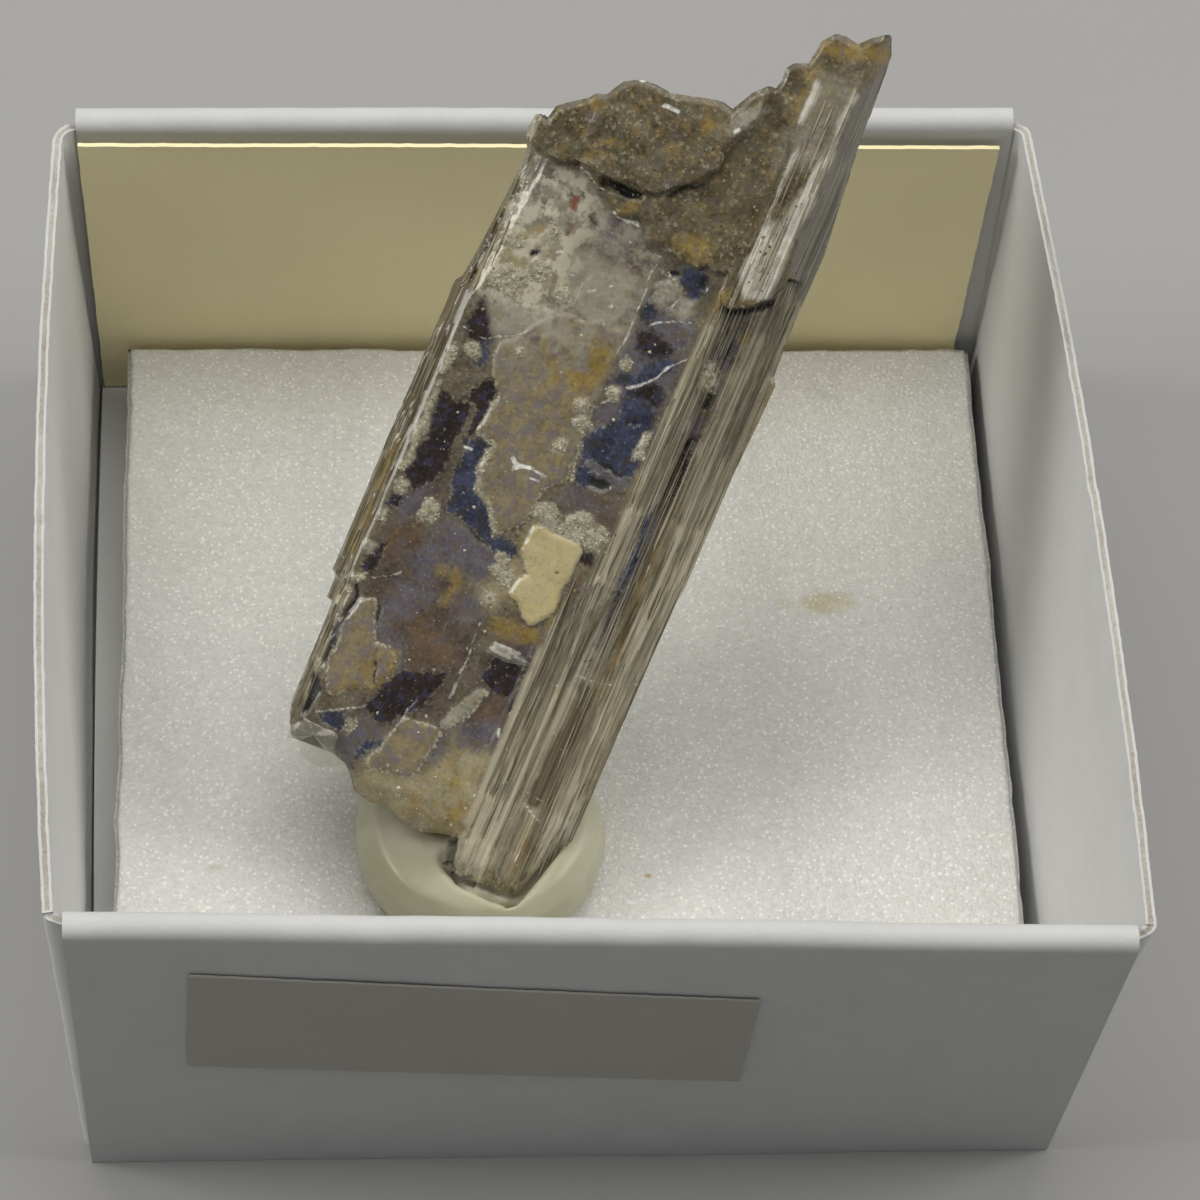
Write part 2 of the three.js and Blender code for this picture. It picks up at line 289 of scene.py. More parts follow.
def rolled_wall(name, left, right, inward):
    """One folded flap. left and right are its outer corners in plan, at the floor and at the rim."""
    radius = DOUBLED / 2
    straight = BOX_HEIGHT - radius
    rows = 26
    # The outer layer: as wide as the wall (0 to 1 for now) and as high as the roll's springing line.
    wall = unit_grid(name, 90, rows)
    bpy.ops.transform.resize(value=(1, straight, 1), center_override=(0, 0, 0))
    bpy.ops.object.mode_set(mode="OBJECT")
    reshape(wall, lambda p: np.stack([p[:, 0], p[:, 2], p[:, 1]], 1))
    bpy.ops.object.mode_set(mode="EDIT")
    # The roll, then the inner layer, drawn down row by row from the roll's end.
    select_places(wall, "EDGE", lambda m: m.z > straight - 1e-6)
    bpy.ops.mesh.spin(steps=12, angle=math.pi, center=(0, radius, straight), axis=(1, 0, 0))
    for row in range(rows):
        bpy.ops.mesh.extrude_region_move(
            TRANSFORM_OT_translate={"value": (0, 0, -(straight - CARD) / rows)})
    bpy.ops.mesh.select_all(action="SELECT")
    bpy.ops.mesh.remove_doubles(threshold=1e-7)
    face_outwards()

    def seat(points):
        share = points[:, 0]
        height = points[:, 2]
        rise = height / BOX_HEIGHT
        plan = [
            (left[0][i] * (1 - share) + right[0][i] * share) * (1 - rise)
            + (left[1][i] * (1 - share) + right[1][i] * share) * rise
            for i in (0, 1)
        ]
        face = np.stack([share * 40, height / MM], 1)
        dent = 0.035 * drift(face, 7.0, 1) + 0.016 * drift(face, 1.6, 2)
        fold = np.clip((height - straight) / radius, 0, 1)
        sag = fold * (0.05 * drift(face[:, :1], 5.0, 3) + 0.02 * drift(face[:, :1], 1.1, 4))
        depth = points[:, 1] / MM + dent * (0.3 + 0.7 * np.sin(math.pi * share))
        return np.stack([plan[0], plan[1] + inward * depth, height / MM + sag - 0.05 * fold], 1) * MM

    reshape(wall, seat)
    bpy.ops.object.mode_set(mode="EDIT")
    face_outwards()
    return wall


def face_out(piece, index, direction):
    """Turns an open sheet's faces round if the face with this number looks away from the direction."""
    if piece.data.polygons[index].normal.dot(Vector(direction)) < 0:
        bpy.ops.object.select_all(action="DESELECT")
        piece.select_set(True)
        bpy.context.view_layer.objects.active = piece
        bpy.ops.object.mode_set(mode="EDIT")
        bpy.ops.mesh.select_all(action="SELECT")
        bpy.ops.mesh.flip_normals()
        bpy.ops.object.mode_set(mode="OBJECT")


for wall_name, left, right, inward in (
    ("front_wall", FRONT_LEFT, FRONT_RIGHT, 1),
    ("back_wall", BACK_LEFT, BACK_RIGHT, -1),
):
    wall = rolled_wall(wall_name, left, right, inward)
    wall.data.materials.append(white_card)
    wall.data.materials.append(card_core)
    face_out(wall, 0, (0, -inward, 0))
    thicken(wall, CARD, rim_material=1)
    bpy.ops.object.shade_smooth_by_angle(angle=math.radians(40))
    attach(wall, "root")
    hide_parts("card_box")


# ---------------------------------------------------------------- card box: side walls
# Single card, cut at the top, so the brown board shows between its two white papers. Each wall has
# sprung outwards in the middle; its ends bend round the corners and are glued into the doubled walls.
SIDE_TOP = BOX_HEIGHT - 0.45 * MM
TUCK = 0.6
WALL_COLUMNS = 170
LEFT_FLOOR = ((-19.95, -18.6), (-20.5, 0.0), (-20.65, 19.0))
LEFT_RIM = ((-20.45, -18.2), (-21.35, 0.0), (-21.25, 18.7))
RIGHT_FLOOR = ((19.75, -18.7), (19.5, 0.0), (19.6, 19.0))
RIGHT_RIM = ((21.4, -19.3), (21.15, 0.0), (20.05, 18.8))


def through_three(points, share):
    """The curve through three points in plan, at shares 0, one half and 1 of its length."""
    weights = ((1 - share) * (1 - 2 * share), 4 * share * (1 - share), share * (2 * share - 1))
    return sum(np.outer(weight, point) for weight, point in zip(weights, points))


def wall_line(share, points, ends, inward):
    """Outer line of a side wall in plan, with both ends turned round the corners."""
    bend = 0.09
    plan = through_three(points, np.clip((share - bend) / (1 - 2 * bend), 0, 1))
    for end, side, turned in ((ends[0], 1, (bend - share) / bend), (ends[1], -1, (share - 1) / bend + 1)):
        turn = np.clip(turned, 0, 1)[:, None] * math.pi / 2
        tip = np.array([end[0] + inward * TUCK, end[1] + side * TUCK])
        plan = plan + (tip - plan) * np.hstack([1 - np.cos(turn), np.sin(turn)])
    return plan


def bowed_wall(name, floor_line, rim_line, floor_ends, rim_ends, inward, nick):
    """One side wall. nick is the place along it, in millimetres, of the dent in its top edge."""
    wall = unit_grid(name, WALL_COLUMNS, 40)
    bpy.ops.object.mode_set(mode="OBJECT")

    def seat(points):
        share, rise = points[:, 0], points[:, 1]
        low = wall_line(share, floor_line, floor_ends, inward)
        high = wall_line(share, rim_line, rim_ends, inward)
        plan = low * (1 - rise[:, None]) + high * rise[:, None]
        face = np.stack([share * 42, rise * 18], 1)
        wave = 0.05 * drift(face, 8.0, 5) + 0.015 * drift(face, 1.4, 6)
        corner = np.clip(np.minimum(share, 1 - share) / 0.07, 0, 1)
        plan[:, 0] += inward * wave * corner
        chew = 0.035 * drift(face[:, :1], 0.5, 7) + 0.05 * drift(face[:, :1], 2.4, 8)
        chew -= 0.22 * np.exp(-(((plan[:, 1] - nick) / 0.35) ** 2))
        chew -= 0.30 * (1 - corner) ** 2
        height = rise * SIDE_TOP / MM + chew * np.clip((rise - 0.8) / 0.2, 0, 1)
        return np.stack([plan[:, 0], plan[:, 1], height], 1) * MM

    reshape(wall, seat)
    face_out(wall, WALL_COLUMNS // 2 + 20 * WALL_COLUMNS, (-inward, 0, 0))
    thicken(wall, CARD)
    wall.data.materials.append(white_card)
    wall.data.materials.append(card_core)
    # The papers stay white at either side of the cut edge; the board between them is sunk and rough.
    bpy.ops.object.mode_set(mode="EDIT")
    bpy.ops.mesh.select_all(action="SELECT")
    bpy.ops.mesh.normals_make_consistent(inside=False)
    bpy.ops.mesh.select_mode(type="FACE")
    bpy.ops.mesh.select_all(action="DESELECT")
    bpy.ops.object.mode_set(mode="OBJECT")
    for face in wall.data.polygons:
        face.select = face.normal.z > 0.6 and face.center.z > 17.0 * MM
    bpy.ops.object.mode_set(mode="EDIT")
    bpy.ops.mesh.subdivide(number_cuts=1)
    bpy.ops.mesh.inset(thickness=0.11 * MM, use_boundary=True)
    bpy.ops.transform.translate(value=(0, 0, -0.03 * MM))
    wall.active_material_index = 1
    bpy.ops.object.material_slot_assign()
    bpy.ops.object.mode_set(mode="OBJECT")

    def fray(points):
        p = points / MM
        top = np.clip((p[:, 2] - 17.4) / 0.3, 0, 1)
        p[:, 2] += top * (0.025 * drift(p, 0.16, 9) + 0.02 * drift(p, 0.45, 10))
        p[:, 0] += top * 0.02 * drift(p, 0.2, 11)
        return p * MM

    reshape(wall, fray)
    bpy.ops.object.shade_smooth_by_angle(angle=math.radians(35))
    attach(wall, "root")
    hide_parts("card_box")


bowed_wall("left_wall", LEFT_FLOOR, LEFT_RIM, (FRONT_LEFT[0], BACK_LEFT[0]),
           (FRONT_LEFT[1], BACK_LEFT[1]), 1, nick=-0.6)
bowed_wall("right_wall", RIGHT_FLOOR, RIGHT_RIM, (FRONT_RIGHT[0], BACK_RIGHT[0]),
           (FRONT_RIGHT[1], BACK_RIGHT[1]), -1, nick=1.0)


# ---------------------------------------------------------------- card box: bottom panel
# The bottom of the same sheet. Inside the box its edge stops just short of the left wall, which leaves
# a narrow dark slit along the crease.
FLOOR = 0.6 * MM
SLIT = 0.11

bottom = unit_grid("bottom_panel", 60, 60)
bpy.ops.object.mode_set(mode="OBJECT")


def seat_bottom(points):
    """Stretches the panel between the four walls."""
    across, along = points[:, 0], points[:, 1]
    left = through_three(LEFT_FLOOR, along) + [CARD / MM + SLIT, 0]
    right = through_three(RIGHT_FLOOR, along) - [CARD / MM, 0]
    plan = left * (1 - across[:, None]) + right * across[:, None]
    height = FLOOR / MM + 0.02 * drift(plan, 3.0, 12)
    return np.stack([plan[:, 0], plan[:, 1], height], 1) * MM


reshape(bottom, seat_bottom)
thicken(bottom, FLOOR - 0.05 * MM, rim_material=1)
# Painted light: the panel is the walls' own card, painted much paler so that the narrow gaps between the
# foam and the walls look lit.
floor_card_painted_light = paper_material(
    "floor_card_painted_light", (0.88, 0.88, 0.86, 1), (0.94, 0.94, 0.92, 1), 2600.0, 0.35)
bottom.data.materials.append(floor_card_painted_light)
bottom.data.materials.append(card_core)
bpy.ops.object.shade_smooth_by_angle(angle=math.radians(35))
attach(bottom, "root")
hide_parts("card_box")


# ---------------------------------------------------------------- name card
# A slip of cream laid paper that stands against the back wall. Its printed face is blank here.
CARD_OUTLINE = ((-20.05, 0.75), (18.2, 0.75), (-20.2, 17.85), (18.75, 17.4))
CARD_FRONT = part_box("name_card")[0].y / MM
cream_paper = paper_material(
    "cream_paper", (0.96, 0.85, 0.51, 1), (0.99, 0.90, 0.56, 1), 3200.0, 0.25)
cream_edge = paper_material(
    "cream_edge", (0.70, 0.67, 0.56, 1), (0.82, 0.79, 0.68, 1), 4200.0, 0.5)


def paper_slip(name, outline, columns, rows, seat_depth, thickness, face_paper, edge_paper):
    """A slip of paper between four corners given in x and z, with its depth from a function."""
    slip = unit_grid(name, columns, rows)
    bpy.ops.object.mode_set(mode="OBJECT")
    low_left, low_right, high_left, high_right = (np.array(corner) for corner in outline)

    def seat(points):
        across, up = points[:, :1], points[:, 1:2]
        low = low_left * (1 - across) + low_right * across
        high = high_left * (1 - across) + high_right * across
        face = low * (1 - up) + high * up
        edge = np.abs(points[:, :2] - 0.5).max(1) > 0.4999
        face += (edge * 0.028)[:, None] * np.stack(
            [drift(face, 0.3, 13), drift(face, 0.3, 14)], 1)
        return np.stack([face[:, 0], seat_depth(face), face[:, 1]], 1) * MM

    reshape(slip, seat)
    face_out(slip, 0, (0, -1, 0))
    thicken(slip, thickness * MM, rim_material=1)
    slip.data.materials.append(face_paper)
    slip.data.materials.append(edge_paper)
    bpy.ops.object.shade_smooth_by_angle(angle=math.radians(35))
    return slip


name_card = paper_slip(
    "name_card_slip", CARD_OUTLINE, 110, 44,
    lambda face: CARD_FRONT + 0.03 + 0.03 * drift(face, 9.0, 15),
    0.19, cream_paper, cream_edge)
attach(name_card, "root")
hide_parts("name_card")


# ---------------------------------------------------------------- number label
# A small label of off-white paper, torn off along its top edge, glued to the outside of the front wall. Its
# face is painted darker than the card around it, as painted shade.
LABEL_OUTLINE = ((-15.41, 8.4), (6.29, 7.0), (-15.05, 15.55), (6.65, 13.95))
# Painted shade: the label's face colour is darker than the off-white paper it is made of, for the shade on
# the front wall.
label_paper = paper_material(
    "label_paper", (0.42, 0.40, 0.355, 1), (0.46, 0.44, 0.39, 1), 3000.0, 0.25)
label_edge = paper_material(
    "label_edge", (0.93, 0.91, 0.84, 1), (1.0, 0.99, 0.94, 1), 5000.0, 0.6)


def on_front_wall(face):
    """Depth of the label's face, a hair in front of the twisted front wall."""
    rise = face[:, 1] / (BOX_HEIGHT / MM)
    left = FRONT_LEFT[0][1] * (1 - rise) + FRONT_LEFT[1][1] * rise
    right = FRONT_RIGHT[0][1] * (1 - rise) + FRONT_RIGHT[1][1] * rise
    share = (face[:, 0] - FRONT_LEFT[0][0]) / (FRONT_RIGHT[0][0] - FRONT_LEFT[0][0])
    return left * (1 - share) + right * share - 0.14 + 0.015 * drift(face, 5.0, 16)


number_label = paper_slip(
    "number_label_slip", LABEL_OUTLINE, 120, 36, on_front_wall, 0.1, label_paper, label_edge)
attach(number_label, "root")
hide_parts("number_label")


# ---------------------------------------------------------------- foam pad
# A die-cut pad of white closed-cell foam. Its skin is a fine grain of cells, with small white dots painted
# into its colour as highlights where cells catch the light, and it has a pale yellow glue stain and two
# ochre specks.
FOAM_LOW, FOAM_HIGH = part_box("foam_pad")
FOAM_TOP_LEFT, FOAM_TOP_RIGHT = 4.25, 3.75
FOAM_ROUND = 0.35

foam_material, tree = new_material("white_foam")
place = node(tree, "TexCoord").outputs["Object"]
cells = node(tree, "TexVoronoi", {"Vector": place, "Scale": 8200.0, "Randomness": 1.0})
cell_shade = node(tree, "SeparateColor", {0: cells.outputs["Color"]})
cloud = node(tree, "TexNoise", {"Vector": place, "Scale": 900.0, "Detail": 3.0})
grain = node(tree, "Mix", {
    0: cell_shade.outputs[0], 6: (0.71, 0.70, 0.66, 1), 7: (0.83, 0.825, 0.79, 1),
}, data_type="RGBA")
tone = node(tree, "MapRange", {0: cloud.outputs[0], 1: 0.3, 2: 0.7, 3: 0.98, 4: 1.03})
toned = node(tree, "VectorMath", {0: grain.outputs[2]}, operation="SCALE")
tree.links.new(tone.outputs[0], toned.inputs["Scale"])
# Painted highlights: small white dots laid into the foam's colour stand in for glints off single cells.
dots = node(tree, "TexVoronoi", {"Vector": place, "Scale": 3600.0, "Randomness": 1.0})
painted_glint = node(tree, "MapRange", {0: dots.outputs["Distance"], 1: 0.30, 2: 0.18})
with_painted_glints = node(tree, "Mix", {
    0: painted_glint.outputs[0], 6: toned.outputs[0], 7: (1.0, 0.99, 0.95, 1),
}, data_type="RGBA")
foam_colour = with_painted_glints.outputs[2]
for centre, radii, colour, strength in (
    ((11.3, 4.6), (1.35, 0.62), (0.82, 0.74, 0.50, 1), 0.75),
    ((3.3, -8.9), (0.22, 0.12), (0.60, 0.42, 0.14, 1), 0.7),
    ((-14.5, -8.4), (0.4, 0.25), (0.66, 0.60, 0.42, 1), 0.35),
):
    moved = node(tree, "Mapping", {
        "Vector": place, "Location": (-centre[0] / radii[0], -centre[1] / radii[1], 0),
        "Scale": (1000 / radii[0], 1000 / radii[1], 0),
    })
    reach = node(tree, "VectorMath", {0: moved.outputs[0]}, operation="LENGTH")
    wander = node(tree, "Math", {0: cloud.outputs[0], 1: 2.2, 2: reach.outputs[1]},
                  operation="MULTIPLY_ADD")
    inside = node(tree, "MapRange", {0: wander.outputs[0], 1: 2.3, 2: 1.6, 3: 0.0, 4: strength})
    stained = node(tree, "Mix", {0: inside.outputs[0], 6: foam_colour, 7: colour},
                   data_type="RGBA", blend_type="MULTIPLY")
    foam_colour = stained.outputs[2]
foam_relief = node(tree, "Bump", {
    "Height": cells.outputs["Distance"], "Strength": 0.55, "Distance": 0.05 * MM})
foam_relief.invert = True
foam_gloss = node(tree, "MapRange", {0: cell_shade.outputs[1], 1: 0.6, 2: 1.0, 3: 0.6, 4: 0.2})
foam_shader = node(tree, "BsdfPrincipled", {
    "Base Color": foam_colour, "Roughness": foam_gloss.outputs[0],
    "Normal": foam_relief.outputs[0],
})
finish_with(tree, foam_shader.outputs[0])

foam_size = (FOAM_HIGH - FOAM_LOW) / MM
foam_middle = (FOAM_HIGH + FOAM_LOW) / 2
bpy.ops.object.select_all(action="DESELECT")
bpy.ops.mesh.primitive_grid_add(x_subdivisions=236, y_subdivisions=228, size=1)
foam = start_piece("foam_pad_cut")
bpy.ops.transform.resize(value=(foam_size.x * MM, foam_size.y * MM, 1))
bpy.ops.transform.translate(value=(foam_middle.x, foam_middle.y, FOAM_HIGH.z))
select_places(foam, "EDGE", lambda m: max(
    abs(m.x - foam_middle.x) - foam_size.x * MM / 2,
    abs(m.y - foam_middle.y) - foam_size.y * MM / 2) > -1e-7)
side_rows = 16
for row in range(side_rows):
    bpy.ops.mesh.extrude_region_move(
        TRANSFORM_OT_translate={"value": (0, 0, -(FOAM_HIGH.z - FOAM_LOW.z) / side_rows)})
bpy.ops.mesh.edge_face_add()
face_outwards()


def cut_foam(points):
    """Lowers the right side, rounds the upper edges and roughens the skin with cells."""
    p = points / MM
    middle = np.array([foam_middle.x, foam_middle.y]) / MM
    half = np.array([foam_size.x, foam_size.y]) / 2
    share = (p[:, 0] - FOAM_LOW.x / MM) / foam_size.x
    drop = (FOAM_TOP_LEFT - FOAM_TOP_RIGHT) * share
    height = (p[:, 2] - FOAM_LOW.z / MM) / foam_size.z
    p[:, 2] -= drop * height
    top = height > 0.999
    side = ~top
    near = half - np.abs(p[:, :2] - middle)
    edge = near.min(1)
    # Rounding of the top skin towards the cut sides.
    round_off = np.clip(1 - edge / FOAM_ROUND, 0, 1)
    p[:, 2] -= np.where(top, FOAM_ROUND * (1 - np.sqrt(1 - round_off**2 * 0.98)), 0)
    under = np.clip(1 - (1 - height) * foam_size.z / FOAM_ROUND, 0, 1)
    pull = FOAM_ROUND * (1 - np.sqrt(1 - under**2 * 0.98)) * (side | (edge < 1e-4))
    p[:, :2] -= np.sign(p[:, :2] - middle) * (near < 1e-4) * pull[:, None]
    waver = 0.10 * drift(p, 2.6, 17) + 0.06 * drift(p, 0.7, 18)
    p[:, :2] += np.sign(p[:, :2] - middle) * np.clip(1 - near / 0.6, 0, 1) * (waver - 0.12)[:, None]
    cell = 0.018 * drift(p, 0.36, 19) + 0.010 * drift(p, 0.2, 20) + 0.015 * drift(p, 1.8, 21)
    p[:, 2] += top * (cell - 0.03)
    return p * MM


reshape(foam, cut_foam)
bpy.ops.object.shade_smooth()
foam.data.materials.append(foam_material)
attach(foam, "root")
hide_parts("foam_pad")


# ---------------------------------------------------------------- mica crystal: its frame and its outline
# The crystal is a book of sheets that leans back over the pad. Its shape is drawn in its own frame, in
# millimetres: across the book, along it from the foot to the torn top, and out of its broad face.
CRYSTAL_FOOT = np.array([-11.4, -5.0, 10.6])
CRYSTAL_TURN = np.array(
    Matrix.Rotation(math.radians(-29.7), 3, "Z")
    @ Matrix.Rotation(math.radians(38.1), 3, "X")
    @ Matrix.Rotation(math.radians(9.25), 3, "Y")
)
BOOK_BACK = -3.2
FLANK_DEPTH = 1.9
FLANK_END = 12.5
TORN_BELOW = -2.35
MICA_IOR = 1.58

LEFT_SIDE = (
    (-0.35, 0.4), (-0.35, 4.5), (-0.3, 4.85), (-0.65, 4.75), (-0.65, 5.75), (-0.87, 5.95),
    (-0.85, 12.0), (-0.78, 18.8), (-0.58, 18.95), (-0.35, 21.0), (-0.08, 24.4), (-0.1, 25.1),
)
TORN_TOP = (
    (-0.2, 25.6), (-0.1, 26.25), (0.35, 26.1), (0.5, 26.8), (0.95, 27.15), (1.6, 27.6),
    (1.75, 27.85), (2.2, 28.0), (2.35, 28.3), (2.6, 28.7), (3.0, 28.95), (3.5, 29.1), (4.4, 29.0),
    (5.6, 29.3), (6.4, 29.5), (7.0, 29.35), (7.3, 29.9), (7.5, 30.3), (8.0, 30.8), (8.25, 30.8),
    (8.35, 31.2), (8.3, 31.7), (8.55, 32.0), (9.05, 32.2), (9.2, 33.2), (9.6, 33.7), (10.0, 33.75),
    (10.55, 33.65), (11.0, 34.1), (11.55, 34.5), (11.85, 33.8),
)
RIGHT_SIDE = (
    (11.97, 32.0), (12.1, 29.5), (12.4, 26.5), (12.5, 25.5), (12.45, 22.0), (12.55, 20.2),
    (12.75, 19.9), (12.7, 18.0), (12.6, 16.0), (12.6, 11.0), (12.5, 10.0), (12.4, 1.5),
    (12.1, 0.3), (12.0, -0.5), (11.6, -2.0), (11.2, -3.35),
)
FOOT_EDGE = (
    (10.5, -3.4), (8.8, -3.4), (8.0, -3.0), (7.9, -2.0), (7.4, -2.1), (6.7, -2.35), (5.8, -2.3),
    (5.0, -1.9), (4.3, -2.1), (3.5, -1.9), (3.1, -1.3), (2.8, -1.0), (2.2, -0.8), (0.3, -0.9),
    (0.0, -0.4),
)
SILHOUETTE = LEFT_SIDE + TORN_TOP + RIGHT_SIDE + FOOT_EDGE


def to_world(local):
    """Places points given in the crystal's own frame, in millimetres, in the box, in metres."""
    return (CRYSTAL_FOOT + local @ CRYSTAL_TURN.T) * MM


def ramp(value, low=0.0, high=1.0):
    """Smooth step from 0 at low to 1 at high."""
    share = np.clip((value - low) / (high - low), 0, 1)
    return share * share * (3 - 2 * share)


def to_line(across, along, start, end):
    """Distance of points from one straight piece of line."""
    run = np.array(end, float) - start
    share = ((across - start[0]) * run[0] + (along - start[1]) * run[1]) / max(run @ run, 1e-9)
    share = np.clip(share, 0, 1)
    return np.hypot(across - start[0] - share * run[0], along - start[1] - share * run[1])


def depth_inside(outline, across, along):
    """How far points lie inside a closed outline, negative outside it."""
    reach = np.full(across.shape, 1e9)
    inside = np.zeros(across.shape, bool)
    for start, end in zip(outline, outline[1:] + outline[:1]):
        reach = np.minimum(reach, to_line(across, along, start, end))
        if start[1] != end[1]:
            crossed = (start[1] > along) != (end[1] > along)
            slope = (end[0] - start[0]) / (end[1] - start[1])
            inside ^= crossed & (across < start[0] + slope * (along - start[1]))
    return np.where(inside, reach, -reach)


def depth_in_stroke(path, across, along):
    """How far points lie inside a stroke: its last number is half its width, the rest its path."""
    *points, half = path
    if len(points) == 1:
        points = points * 2
    reach = np.full(across.shape, 1e9)
    for start, end in zip(points, points[1:]):
        reach = np.minimum(reach, to_line(across, along, start, end))
    return half - reach


# ---------------------------------------------------------------- mica crystal: the colours on its face
# Between the uppermost sheets lie films and crusts: violet and navy interference colours, tan and
# yellow plates, cream granular crusts and rusty iron stains. Each colour is a set of outlines and
# strokes, drawn across and along the book.
UPPER_PACKET = (
    (1.4, 24.75), (2.2, 25.0), (3.5, 24.4), (4.3, 23.75), (5.0, 23.9), (5.8, 23.9), (6.0, 23.3),
    (7.0, 23.1), (7.7, 23.0), (8.7, 23.2), (9.4, 23.4), (9.5, 22.2), (9.7, 22.0), (10.4, 22.2),
    (10.9, 22.5), (11.3, 23.1), (11.7, 24.0), (13.5, 24.0), (13.5, 36.0), (-2.0, 36.0), (-2.0, 25.2),
)
RAISED_PLATE = (
    (1.4, 24.8), (2.2, 25.05), (3.5, 24.9), (4.9, 24.9), (5.6, 25.1), (6.0, 25.5), (6.9, 26.2),
    (7.4, 27.0), (7.4, 27.6), (7.6, 28.2), (7.9, 28.8), (8.2, 29.8), (8.3, 30.6), (7.0, 32.0),
    (-2.0, 32.0), (-2.0, 25.2),
)
YELLOW_PLATE = (
    (6.1, 11.0), (7.1, 11.1), (8.1, 11.1), (8.4, 10.7), (8.3, 9.6), (8.15, 9.0), (8.3, 8.3),
    (8.1, 7.8), (7.9, 7.4), (7.6, 7.25), (7.1, 7.4), (6.8, 7.9), (6.3, 8.2), (6.5, 8.7),
    (6.75, 9.1), (6.4, 9.4), (6.1, 10.0), (6.2, 10.4),
)
TAN_PLATE = (
    (2.8, 15.0), (2.65, 14.0), (2.6, 13.5), (3.4, 13.25), (3.2, 13.0), (3.3, 12.0), (3.5, 11.5),
    (4.0, 11.1), (4.3, 10.7), (4.8, 10.2), (5.0, 10.2), (5.6, 10.7), (5.9, 11.3), (5.9, 12.0),
    (6.0, 12.6), (6.6, 13.2), (6.7, 14.5), (6.6, 15.6), (6.5, 16.9), (6.6, 18.3), (6.5, 19.4),
    (5.5, 19.5), (4.0, 19.3), (3.1, 18.4), (2.1, 17.3), (2.0, 16.5), (2.4, 15.9), (2.8, 15.3),
)
LOWER_TAN = (
    (0.75, 5.4), (1.4, 5.7), (1.8, 4.7), (2.1, 4.2), (2.6, 4.2), (2.95, 3.9), (3.0, 3.1),
    (2.7, 2.4), (2.0, 2.05), (1.4, 1.5), (1.1, 1.6), (0.8, 2.2), (0.6, 3.0), (0.6, 4.2),
)
FOOT_PLATE = (
    (4.1, 1.2), (4.4, 1.8), (5.8, 1.95), (6.0, 1.8), (5.8, 1.0), (5.7, 0.0), (5.5, -0.4),
    (4.5, -0.6), (3.5, -0.7), (3.9, 0.2),
)
PURPLE = (
    ((0.45, 11.0), (0.65, 11.6), (0.5, 12.0), (0.75, 12.6), (0.7, 13.3), (0.75, 14.0), (0.55, 14.5),
     (1.0, 14.55), (1.5, 14.5), (1.95, 14.9), (1.95, 13.0), (1.85, 12.0), (1.9, 11.2), (1.4, 10.6),
     (1.0, 10.35), (0.6, 10.7)),
    ((1.6, 14.9), (1.9, 15.5), (2.3, 15.9), (2.7, 15.5), (2.75, 14.9), (2.6, 14.0), (2.5, 13.4),
     (2.35, 12.3), (2.2, 13.2), (2.15, 14.5)),
    ((0.6, 18.6), (1.0, 18.2), (1.4, 17.7), (1.85, 17.3), (1.5, 17.0), (0.9, 16.9), (0.5, 17.4),
     (0.4, 18.0)),
    ((5.3, 4.3), (4.9, 3.9), (4.2, 3.7), (3.4, 3.6), (3.2, 3.0), (3.0, 2.3), (2.6, 1.7), (3.3, 1.2),
     (3.9, 1.1), (4.2, 1.8), (4.8, 2.2), (5.0, 3.0), (5.3, 3.6)),
    ((6.45, 4.6), (6.6, 5.3), (6.9, 5.8), (7.6, 5.75), (8.1, 5.5), (8.05, 4.6), (7.7, 4.1),
     (7.1, 4.3)),
    ((7.4, 17.4), (7.9, 18.0), (8.3, 18.3), (8.8, 18.0), (9.0, 17.5), (8.4, 17.4), (7.9, 17.2)),
    ((6.9, 19.9), (7.4, 20.15), (8.0, 19.9), (8.5, 19.7), (8.4, 19.3), (7.8, 19.1), (7.2, 19.3)),
    ((8.3, 10.3), (8.3, 10.8), (8.9, 10.95), (9.0, 10.4)),
    ((0.35, 6.6), (0.3, 7.3), (0.6, 8.0), (0.95, 7.9), (0.9, 7.0), (0.8, 6.6)),
    ((0.4, 9.4), (0.35, 10.0), (0.8, 10.1), (0.8, 9.5)),
    ((10.25, 14.0), (10.25, 16.8), (10.8, 16.9), (10.85, 14.0)),
)
